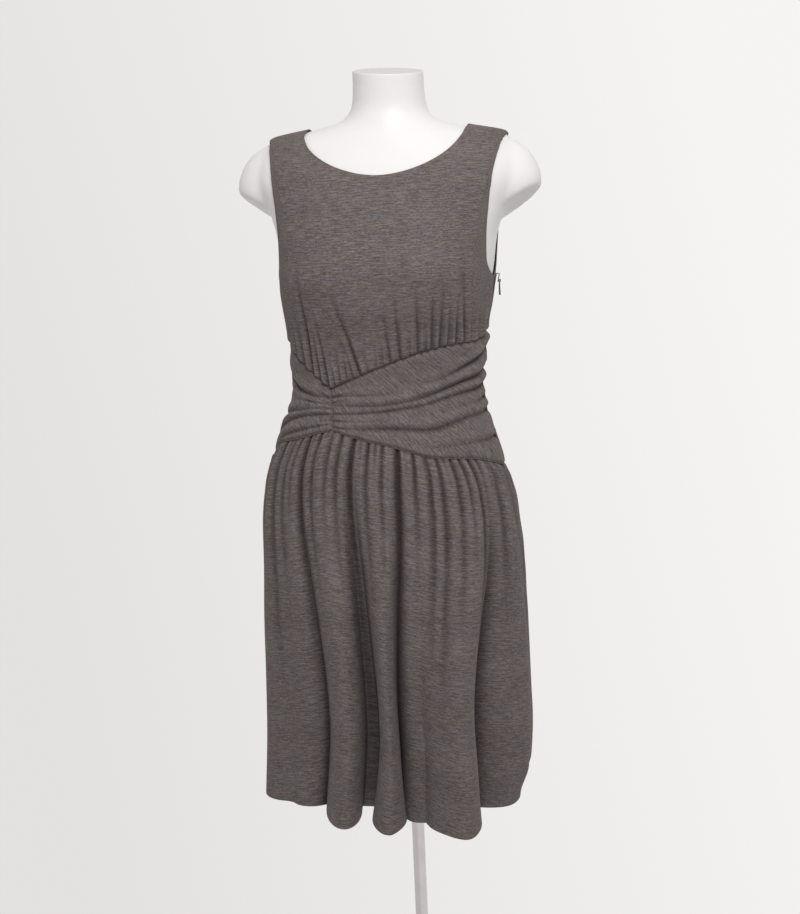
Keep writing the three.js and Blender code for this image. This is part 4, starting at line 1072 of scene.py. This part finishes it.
# ---- materials
class Nodes:
    """Short names for making the node tree of a material or a world."""

    def __init__(self, owner, shader="ShaderNodeBsdfPrincipled", output="ShaderNodeOutputMaterial"):
        self.owner = owner
        owner.use_nodes = True
        self.tree = owner.node_tree
        self.tree.nodes.clear()
        self.shader = self.tree.nodes.new(shader)
        self.tree.links.new(self.shader.outputs[0], self.tree.nodes.new(output).inputs["Surface"])

    def put(self, socket, value):
        """Links a socket to another one, or sets it to a plain value."""
        if isinstance(value, bpy.types.NodeSocket):
            self.tree.links.new(value, socket)
        else:
            socket.default_value = value

    def add(self, kind, inputs, output=0, **settings):
        """A node with its settings and inputs; returns one of its outputs."""
        node = self.tree.nodes.new(kind)
        for key, value in settings.items():
            setattr(node, key, value)
        for key, value in inputs.items():
            self.put(node.inputs[key], value)
        return node.outputs[output]

    def maths(self, operation, a, b):
        return self.add("ShaderNodeMath", {0: a, 1: b}, operation=operation)

    def weighted(self, *pairs, plus=0):
        """The sum of values, each times its share, and a constant."""
        total, *others = (self.maths("MULTIPLY", value, share) for value, share in pairs)
        for value in (*others, *([plus] if plus else [])):
            total = self.maths("ADD", total, value)
        return total

    def place(self, source="Object"):
        return self.add("ShaderNodeTexCoord", {}, source)

    def moved(self, vector, scale=(1, 1, 1), turn=0.0):
        return self.add("ShaderNodeMapping", {"Vector": vector, "Scale": scale, "Rotation": (0, 0, turn)})

    def noise(self, vector, scale, detail, rough):
        inputs = {"Vector": vector, "Scale": scale, "Detail": detail, "Roughness": rough}
        return self.add("ShaderNodeTexNoise", inputs, "Fac", normalize=True)

    def streaks(self, vector, stretch, detail, rough):
        return self.noise(self.moved(vector, stretch), 1, detail, rough)

    def waves(self, vector, direction, scale, distortion=0.0):
        inputs = {"Vector": vector, "Scale": scale, "Distortion": distortion}
        bands = {"wave_type": "BANDS", "bands_direction": direction, "wave_profile": "SIN"}
        return self.add("ShaderNodeTexWave", inputs, "Fac", **bands)

    def mapped(self, value, before, after, **settings):
        """A value moved from one range to another."""
        ends = dict(zip(("From Min", "From Max", "To Min", "To Max"), (*before, *after)))
        return self.add("ShaderNodeMapRange", {0: value, **ends}, **settings)

    def ramp(self, factor, *stops):
        node = self.tree.nodes.new("ShaderNodeValToRGB")
        self.put(node.inputs[0], factor)
        ramp = node.color_ramp
        for element, (place, colour) in zip(ramp.elements, (stops[0], stops[-1])):
            element.position, element.color = place, (*colour, 1)
        for place, colour in stops[1:-1]:
            ramp.elements.new(place).color = (*colour, 1)
        return node.outputs[0]

    def tinted(self, factor, a, b):
        return self.add("ShaderNodeMix", {0: factor, 6: a, 7: b}, 2, data_type="RGBA", blend_type="MULTIPLY")

    def bump(self, height, strength, distance):
        return self.add("ShaderNodeBump", {"Height": height, "Strength": strength, "Distance": distance})

    def finish(self, sockets):
        """Fills the shader's sockets and returns the material."""
        for key, value in sockets.items():
            self.put(self.shader.inputs[key], value)
        return self.owner


def knit_material(name, colours, turn, scale):
    """Fine melange jersey: long soft streaks along the courses in three sizes, ribs of fine wales and
    courses in the bump, a haze of fibres in the sheen, and painted shade that darkens the cloth where it lies hollow."""
    n = Nodes(bpy.data.materials.new(name))
    cloth = n.moved(n.add("ShaderNodeUVMap", {}, uv_map="cloth"), turn=turn)
    long_streaks = n.streaks(cloth, (55, 520, 1), 3, 0.62)
    short_streaks = n.streaks(cloth, (210, 900, 1), 2, 0.7)
    broad = n.streaks(cloth, (6, 30, 1), 2, 0.5)
    flecks = n.streaks(cloth, (700, 1300, 1), 1, 0.5)
    mix = n.weighted((long_streaks, 0.40), (short_streaks, 0.38), (flecks, 0.14), (broad, 0.08))
    dark, mid, light = colours
    tones = n.ramp(mix, (0.42, dark), (0.5, mid), (0.58, light))
    patches = n.streaks(cloth, (30, 90, 1), 3, 0.6)
    tints = n.ramp(patches, (0.35, (0.93, 0.99, 1.05)), (0.65, (1.06, 1.0, 0.94)))
    colour = n.tinted(0.65, tones, tints)
    # painted shade: the hollow attribute darkens the colour, down to about a third, in gathers, creases and fold
    # floors
    hollow = n.add("ShaderNodeAttribute", {}, "Fac", attribute_name="hollow")
    shade = n.ramp(hollow, (0.0, (1.0, 1.0, 1.0)), (0.5, (0.62, 0.61, 0.60)), (1.0, (0.34, 0.33, 0.32)))
    colour = n.tinted(1.0, colour, shade)
    wales = n.waves(cloth, "X", scale / 20)
    courses = n.waves(cloth, "Y", scale / 20 * 1.35)
    loops = n.maths("MULTIPLY", n.maths("ADD", wales, courses), 0.5)
    height = n.weighted((loops, 0.6), (short_streaks, 0.7))
    fuzz = n.noise(n.place(), 1800, 1, 0.5)
    sockets = {
        "Base Color": colour,
        "Roughness": n.weighted((fuzz, 0.12), plus=0.82),
        "Normal": n.bump(height, 0.5, 0.0005),
        "Sheen Weight": 0.10,
        "Sheen Roughness": 0.55,
        "Sheen Tint": (0.82, 0.76, 0.74, 1),
        "Specular IOR Level": 0.10,
    }
    return n.finish(sockets)


def shell_material(name, colour, top=1.0):
    """Moulded shell with a satin skin: faint clouding, a fine orange-peel bump and a soft clear coat.
    Faces that look up are darker by the share given as top: painted shade on upward faces."""
    n = Nodes(bpy.data.materials.new(name))
    place = n.place()
    cloud = n.noise(place, 7, 3, 0.5)
    peel = n.noise(place, 520, 2, 0.5)
    marks = n.streaks(place, (60, 60, 9), 4, 0.6)
    tone = n.ramp(cloud, (0.3, tuple(c * 0.975 for c in colour)), (0.7, colour))
    # painted shade: faces that look up are darkened by their normal, as if the top lay in shade
    if top < 1:
        facing_up = n.add("ShaderNodeSeparateXYZ", {0: n.add("ShaderNodeNewGeometry", {}, "Normal")}, "Z")
        shade = n.ramp(facing_up, (0.6, (1, 1, 1)), (0.9, (top,) * 3))
        tone = n.tinted(1.0, tone, shade)
    sockets = {
        "Base Color": tone,
        "Roughness": n.weighted((marks, 0.10), plus=0.33),
        "Normal": n.bump(peel, 0.05, 0.0006),
        "Specular IOR Level": 0.28,
        "Coat Weight": 0.05,
        "Coat Roughness": 0.35,
    }
    return n.finish(sockets)


def metal_material(name, colour, rough, brushed):
    """Polished metal with faint turned marks; the marks only change the roughness and the bump."""
    n = Nodes(bpy.data.materials.new(name))
    place = n.place()
    marks = n.streaks(place, brushed, 3, 0.6)
    smudges = n.noise(place, 35, 3, 0.55)
    wear = n.weighted((marks, 0.05), (smudges, 0.08), plus=rough)
    tint = n.ramp(smudges, (0.35, tuple(c * 0.93 for c in colour)), (0.65, colour))
    bump = n.bump(marks, 0.03, 0.0002)
    return n.finish({"Base Color": tint, "Metallic": 1.0, "Roughness": wear, "Normal": bump})


def tape_material(name, colour):
    """Woven tape and coil: short cross ribs in the bump and in the tone."""
    n = Nodes(bpy.data.materials.new(name))
    place = n.place()
    ribs = n.waves(place, "Z", 160, 0.4)
    threads = n.streaks(place, (900, 900, 2400), 2, 0.5)
    both = n.weighted((ribs, 0.6), (threads, 0.4))
    tone = n.ramp(both, (0.25, tuple(c * 0.72 for c in colour)), (0.75, colour))
    bump = n.bump(both, 0.6, 0.0005)
    return n.finish({"Base Color": tone, "Roughness": 0.78, "Normal": bump, "Specular IOR Level": 0.25})


def floor_material(name, colour, clear_from, clear_to):
    """A pale floor that turns clear with distance from the middle."""
    n = Nodes(bpy.data.materials.new(name))
    place = n.place()
    length = n.add("ShaderNodeVectorMath", {0: place}, "Value", operation="LENGTH")
    fade = n.mapped(length, (clear_from, clear_to), (1, 0), interpolation_type="SMOOTHSTEP")
    tone = n.ramp(n.noise(place, 3, 2, 0.5), (0.2, tuple(c * 0.99 for c in colour)), (0.8, colour))
    glow = {"Emission Strength": 0.42, "Emission Color": (*colour, 1)}
    return n.finish({"Base Color": tone, "Roughness": 0.6, "Alpha": fade, "Specular IOR Level": 0.2, **glow})


# ---- settings
def number_property(name, description, default, **more):
    return bpy.props.FloatProperty(name=name, description=description, default=default, **more)


def length_property(name, description, default):
    return number_property(name, description, default, unit="LENGTH", subtype="DISTANCE")


def colour_property(name, description, default):
    return bpy.props.FloatVectorProperty(
        name=name, description=description, default=default, size=3, min=0, max=1, subtype="COLOR"
    )


class ClothSettings(bpy.types.PropertyGroup):
    """How the knit is made."""

    thickness: length_property("Thickness", "Thickness of the knit", 0.0012)
    folds: number_property("Gathers", "Strength of the small gathers and creases", 1.0, min=0, max=2)
    dark: colour_property("Dark yarn", "Darkest streaks of the melange", (0.086, 0.072, 0.069))
    mid: colour_property("Yarn", "Middle tone of the melange", (0.139, 0.118, 0.114))
    light: colour_property("Light yarn", "Lightest streaks of the melange", (0.215, 0.188, 0.184))
    tab_swell: length_property("Tab swell", "How far the pull tab is rounded out", 0.0006)
    tape: colour_property("Zip tape", "Colour of the zip's tape", (0.085, 0.070, 0.066))
    bias: number_property("Bias", "Angle of the band's grain to its length", 0.73, unit="ROTATION")
    gauge: number_property("Gauge", "Wales of the knit in a metre", 900, min=100, max=3000)


class StandSettings(bpy.types.PropertyGroup):
    """How the form and its stand are made."""

    voxel: length_property("Form mesh", "Size of the form's mesh faces before it is smoothed", 0.0046)
    shell: colour_property("Shell", "Colour of the form's shell", (0.84, 0.823, 0.817))
    # painted shade: how bright the upward faces of the neck's end stay beside the shell's
    cap_top_shade: number_property("Neck's end", "Brightness beside the shell's", 0.8, min=0, max=1)
    chrome: colour_property("Chrome", "Colour of the pole and its fittings", (0.60, 0.58, 0.57))
    plate: colour_property("Base", "Colour of the base plate", (0.55, 0.54, 0.53))
    slider: colour_property("Slider", "Colour of the zip's slider", (0.11, 0.095, 0.09))


class StageSettings(bpy.types.PropertyGroup):
    """Camera, lights and floor."""

    azimuth: number_property("Azimuth", "Camera's turn from the front, in degrees", 9.0)
    elevation: number_property("Elevation", "Camera's height as an angle, in degrees", 9.0)
    roll: number_property("Roll", "Camera's roll, in degrees", 2.5)
    distance: length_property("Distance", "From the camera to the point it looks at", 2.4)
    lens: number_property("Lens", "Focal length in millimetres", 67.52)
    backdrop: colour_property("Backdrop", "Colour all round", (1.0, 0.985, 0.98))
    brightness: number_property("Brightness", "Strength of the backdrop", 0.92)
    ambient: number_property("Ambient", "Diffuse light from all round", 0.42)
    key: number_property("Key light", "Power in watts", 27.0, unit="POWER")
    fill: number_property("Fill light", "Power in watts", 4.0, unit="POWER")


def cloth_settings():
    return bpy.context.scene.dress_cloth


def knit(turned):
    """The knit on the straight grain, or on the bias for the band."""
    s = cloth_settings()
    name = "jersey_bias" if turned else "jersey"
    if name in bpy.data.materials:
        return bpy.data.materials[name]
    colours = (tuple(s.dark), tuple(s.mid), tuple(s.light))
    return knit_material(name, colours, s.bias if turned else 0.0, s.gauge)


def detail(count):
    return max(2, count // 2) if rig.quick() else count


def make_panels(table, surface_of, turned, rests_on):
    """Makes each panel of a table from its surface, as a gathered sheet that rests on some nodes."""
    settings = cloth_settings()
    for key, (node, columns, rows, flat, area) in table.items():
        side = BACK if key == "back" else FRONT
        points, uv, hollow = surface_of(key, detail(columns), detail(rows), settings.folds)
        obj = cloth_object(f"knit_{node}", points, side, settings.thickness / MM, uv, hollow)
        finish_piece(obj, ROOT_BODY, [node], "knit", knit(turned))
        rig.sheet(obj, flat=flat, area=area, held="gathered", rests_on=rests_on)


def reported(work):
    """An operator's execute from its work: a failure is reported and raised again."""

    def execute(self, context):
        try:
            work(self, context)
        except (ValueError, RuntimeError, KeyError, IndexError) as problem:
            self.report({"ERROR"}, f"{self.bl_label}: {problem}")
            raise
        return {"FINISHED"}

    return execute


# ---- operators
class DRESS_OT_bodice(bpy.types.Operator):
    """Make the front and the back of the bodice"""

    bl_idname = "dress.bodice"
    bl_label = "Bodice"
    bl_options = {"REGISTER", "UNDO"}

    @reported
    def execute(self, context):
        make_panels(BODICE_PANELS, bodice_surface, False, ["form_torso"])


class DRESS_OT_band(bpy.types.Operator):
    """Make the three pieces of the draped midriff band"""

    bl_idname = "dress.band"
    bl_label = "Band"
    bl_options = {"REGISTER", "UNDO"}

    @reported
    def execute(self, context):
        make_panels(BAND_PANELS, band_surface, True, ["form_torso"])


class DRESS_OT_skirt(bpy.types.Operator):
    """Make the front and the back of the gathered skirt"""

    bl_idname = "dress.skirt"
    bl_label = "Skirt"
    bl_options = {"REGISTER", "UNDO"}

    @reported
    def execute(self, context):
        make_panels(SKIRT_PANELS, skirt_surface, False, ["form_torso", "band_back"])


class DRESS_OT_zip(bpy.types.Operator):
    """Finish the zip: its strip, its slider and its pull tab"""

    bl_idname = "dress.zip"
    bl_label = "Zip"
    bl_options = {"REGISTER", "UNDO"}

    @reported
    def execute(self, context):
        tape = tape_material("zip_tape", tuple(cloth_settings().tape))
        metal = metal_material("zip_metal", tuple(context.scene.dress_stand.slider), 0.3, (400, 400, 90))
        finer_copy("zip_strip", "zip_chain", 0.0002, ROOT_BODY, "zip_tape", tape)
        finer_copy("zip_runner", "zip_slider", 0.0003, ROOT_BODY, "zip_metal", metal)
        tab = finer_copy("zip_tab", "zip_pull", 0.00035, PULL_BODY, "zip_metal", metal)
        fatten_below(tab, cloth_settings().tab_swell)


class DRESS_OT_form(bpy.types.Operator):
    """Make the limbless form and the end of its neck"""

    bl_idname = "dress.form"
    bl_label = "Form"
    bl_options = {"REGISTER", "UNDO"}

    @reported
    def execute(self, context):
        settings = context.scene.dress_stand
        shell = shell_material("form_shell", tuple(settings.shell))
        levels = np.concatenate([np.arange(*stretch) for stretch in TORSO_LEVELS])
        rings = form_rings(levels, RING_POINTS["torso"])
        foot = [shrunk(rings[0], *step) for step in ((0.5, -2), (0.9, -2), (0.975, -1.2))]
        end = [shrunk(rings[-1], share, 0.5) for share in (0.99, 0.9, 0.4)]
        torso = closed_rings_object("form_body", np.stack([*foot, *rings, *end]))
        for hand in (-1, 1):
            join_into(torso, closed_rings_object(f"stub_{hand + 1}", stub_rings(hand)))
        remesh = torso.modifiers.new("remesh", "REMESH")
        remesh.mode, remesh.voxel_size = "VOXEL", settings.voxel * (2 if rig.quick() else 1)
        soften = torso.modifiers.new("soften", "SMOOTH")
        soften.factor, soften.iterations = 0.5, 8
        apply_modifiers(torso)
        torso.data.shade_smooth()
        finish_piece(torso, ROOT_BODY, ["form_torso"], "form_shell", shell)
        cap = closed_rings_object("form_neck_cap", neck_cap_rings())
        # the neck's end takes a copy of the shell with painted shade on its upward faces
        top_shaded_shell = shell_material("form_cap", tuple(settings.shell), settings.cap_top_shade)
        finish_piece(cap, ROOT_BODY, [], "form_shell", top_shaded_shell)


class DRESS_OT_stand(bpy.types.Operator):
    """Make the pole, its socket and collar, and the round base"""

    bl_idname = "dress.stand"
    bl_label = "Stand"
    bl_options = {"REGISTER", "UNDO"}

    @reported
    def execute(self, context):
        settings = context.scene.dress_stand
        chrome = metal_material("chrome", tuple(settings.chrome), 0.10, (30, 30, 900))
        plate = metal_material("base", tuple(settings.plate), 0.30, (350, 350, 4))
        floor, bore = BASE["thickness"] + RUNNING_GAP, POLE_RADIUS + RUNNING_GAP
        top = form_foot(POLE_RADIUS) - RUNNING_GAP
        pole = [(0, floor), (POLE_RADIUS, floor), (POLE_RADIUS, top), (0, top)]
        high = form_foot(SOCKET["flange"]) - RUNNING_GAP
        low, step = high - SOCKET["height"], high - SOCKET["lip"]
        inner, outer = SOCKET["radius"], SOCKET["flange"]
        socket = tube_profile(bore, [(inner, low), (inner, step), (outer, step), (outer, high)])
        wide, narrow = COLLAR["radius"], COLLAR["radius"] - COLLAR["step"]
        slope = [(wide, floor + COLLAR["foot"]), (narrow, floor + COLLAR["waist"])]
        collar = tube_profile(bore, [(wide, floor), *slope, (narrow, floor + COLLAR["height"])])
        rim, deep, edge = BASE["radius"], BASE["thickness"], BASE["edge"]
        base = [(0, 0), (rim, 0), (rim, deep - edge), (rim - edge, deep), (0, deep)]
        pieces = (
            ("stand_pole", pole, 0.8, "pole", "chrome", chrome),
            ("stand_socket", socket, 1.4, "form_socket", "chrome", chrome),
            ("stand_collar", collar, 1.6, "base_collar", "chrome", chrome),
            ("stand_base", base, 2.2, "base_plate", "base", plate),
        )
        for name, corners, radius, node, slot, material in pieces:
            obj = lathe_object(name, rounded(corners, radius), detail(128))
            finish_piece(obj, ROOT_BODY, [node], slot, material)


class DRESS_OT_stage(bpy.types.Operator):
    """Set the camera, the lights, the backdrop and the floor"""

    bl_idname = "dress.stage"
    bl_label = "Stage"
    bl_options = {"REGISTER", "UNDO"}

    AIM = (-0.003, 0.0, 0.955)
    LIGHTS = {  # place, aim, size
        "key": ((0.55, -1.5, 2.45), (0, 0, 1.05), 1.2),
        "fill": ((-1.9, -1.5, 2.0), (0, 0, 1.1), 1.6),
    }

    @reported
    def execute(self, context):
        settings = context.scene.dress_stage
        place_camera(context.scene, settings, np.array(self.AIM))
        set_backdrop(context.scene, settings)
        for name, light in self.LIGHTS.items():
            area_light(name, *light, getattr(settings, name))
        floor = disc_object("floor", 0.62)
        floor.data.materials.append(floor_material("floor", (0.8, 0.79, 0.785), 0.22, 0.60))
        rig.stage(floor)


class DRESS_PT_panel(bpy.types.Panel):
    """Buttons that make each part of the dress and its form"""

    bl_idname = "DRESS_PT_panel"
    bl_label = "Dress"
    bl_space_type = "VIEW_3D"
    bl_region_type = "UI"
    bl_category = "Dress"

    def draw(self, context):
        for group, kind in SETTINGS.items():
            box = self.layout.box()
            box.label(text=group.removeprefix("dress_").title())
            for key in kind.__annotations__:
                box.prop(getattr(context.scene, group), key)
        for operator in OPERATORS:
            self.layout.operator(operator.bl_idname)


def disc_object(name, radius):
    """A flat disc of rings just under the base."""
    profile = [(reach / MM, FLOOR_Z) for reach in np.linspace(0, radius, 24)]
    obj = lathe_object(name, profile, 96)
    if obj.data.polygons[0].normal.z < 0:
        obj.data.flip_normals()
    return obj


def finer_copy(name, node, bevel, body, slot, material):
    """A copy of a node's mesh with its doubled points merged and its edges bevelled."""
    obj = linked_object(name, node_object(node).data.copy())
    close_up(obj)
    modifier = obj.modifiers.new("bevel", "BEVEL")
    modifier.width, modifier.segments, modifier.limit_method = bevel, 2, "ANGLE"
    apply_modifiers(obj)
    obj.data.shade_smooth()
    finish_piece(obj, body, [node], slot, material)
    return obj


def fatten_below(obj, amount):
    """Moves the points of a hanging tab out along their normals, from 3 mm below its top downwards."""
    count = len(obj.data.vertices)
    points, normals = np.zeros(count * 3, np.float32), np.zeros(count * 3, np.float32)
    obj.data.vertices.foreach_get("co", points)
    obj.data.vertex_normals.foreach_get("vector", normals)
    points, normals = points.reshape(-1, 3), normals.reshape(-1, 3)
    below = points[:, 2].max() - points[:, 2]
    points += normals * (amount * smoothstep(below, 0.003, 0.007))[:, None]
    fill(obj.data.vertices, "co", points)
    obj.data.update()


def node_object(node):
    """The frame's own mesh of a node."""
    return next(o for o in bpy.data.objects if o.name == node and o.type == "MESH")


def join_into(obj, other):
    """Adds another object's mesh to this one's and removes the other object."""
    bm = bmesh.new()
    bm.from_mesh(obj.data)
    bm.from_mesh(other.data)
    bm.to_mesh(obj.data)
    bm.free()
    bpy.data.objects.remove(other)


def turned_to(direction, up=(0, 0, 1), roll=0.0):
    """Rotation whose -Z looks along a direction, with its right and up turned by a roll."""
    back = -unit(np.asarray(direction, float))
    right = unit(np.cross(up, back))
    above = np.cross(back, right)
    c, s = np.cos(roll), np.sin(roll)
    return Matrix(np.stack([right * c - above * s, above * c + right * s, back], 1).tolist())


def place_camera(scene, settings, aim):
    """A camera at a distance from its aim, turned from the front and raised."""
    az, el = np.radians(settings.azimuth), np.radians(settings.elevation)
    back = np.array([np.sin(az) * np.cos(el), -np.cos(az) * np.cos(el), np.sin(el)])
    camera = bpy.data.cameras.new("camera")
    camera.sensor_fit, camera.sensor_height, camera.lens = "VERTICAL", 36, settings.lens
    obj = linked_object("camera", camera)
    turn = turned_to(-back, roll=np.radians(settings.roll)).to_4x4()
    obj.matrix_world = Matrix.Translation((aim + back * settings.distance).tolist()) @ turn
    scene.camera = obj


def area_light(name, place, aim, size, power):
    """A round light that faces its aim."""
    light = bpy.data.lights.new(name, "AREA")
    light.shape, light.size, light.energy = "DISK", size, power
    obj = linked_object(name, light)
    place = np.asarray(place, float)
    obj.matrix_world = Matrix.Translation(place.tolist()) @ turned_to(np.asarray(aim) - place).to_4x4()


def set_backdrop(scene, settings):
    """A pale backdrop, darker towards one side, that gives less diffuse light than it shows."""
    n = Nodes(bpy.data.worlds.new("backdrop"), "ShaderNodeBackground", "ShaderNodeOutputWorld")
    slope = n.add(
        "ShaderNodeVectorMath", {0: n.place("Generated"), 1: (1, 0, 0.25)}, "Value", operation="DOT_PRODUCT"
    )
    shown = n.mapped(slope, (-0.42, 0.05), (0.83 * settings.brightness, 1.0 * settings.brightness))
    diffuse_ray = n.add("ShaderNodeLightPath", {}, "Is Diffuse Ray")
    n.put(n.shader.inputs["Color"], (*settings.backdrop, 1))
    strength = n.add("ShaderNodeMix", {0: diffuse_ray, 2: shown, 3: settings.ambient})
    n.put(n.shader.inputs["Strength"], strength)
    scene.world = n.owner
    scene.view_settings.view_transform = "Standard"


OPERATORS = (
    DRESS_OT_form,
    DRESS_OT_stand,
    DRESS_OT_bodice,
    DRESS_OT_band,
    DRESS_OT_skirt,
    DRESS_OT_zip,
    DRESS_OT_stage,
)
SETTINGS = {"dress_cloth": ClothSettings, "dress_stand": StandSettings, "dress_stage": StageSettings}


def register():
    for group in (*SETTINGS.values(), *OPERATORS, DRESS_PT_panel):
        bpy.utils.register_class(group)
    for key, group in SETTINGS.items():
        setattr(bpy.types.Scene, key, bpy.props.PointerProperty(type=group))


def unregister():
    for key in SETTINGS:
        delattr(bpy.types.Scene, key)
    for group in (DRESS_PT_panel, *reversed(OPERATORS), *SETTINGS.values()):
        bpy.utils.unregister_class(group)


def main():
    register()
    bpy.ops.dress.form()
    bpy.ops.dress.stand()
    bpy.ops.dress.bodice()
    bpy.ops.dress.band()
    bpy.ops.dress.skirt()
    bpy.ops.dress.zip()
    bpy.ops.dress.stage()
    boxes = {"cad": [list(map(float, c)) for c in CAD_BOX], "visual": [list(map(float, c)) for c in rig.bounds()]}
    with open("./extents.json", "w") as file:
        json.dump(boxes, file)


if __name__ == "__main__":
    main()
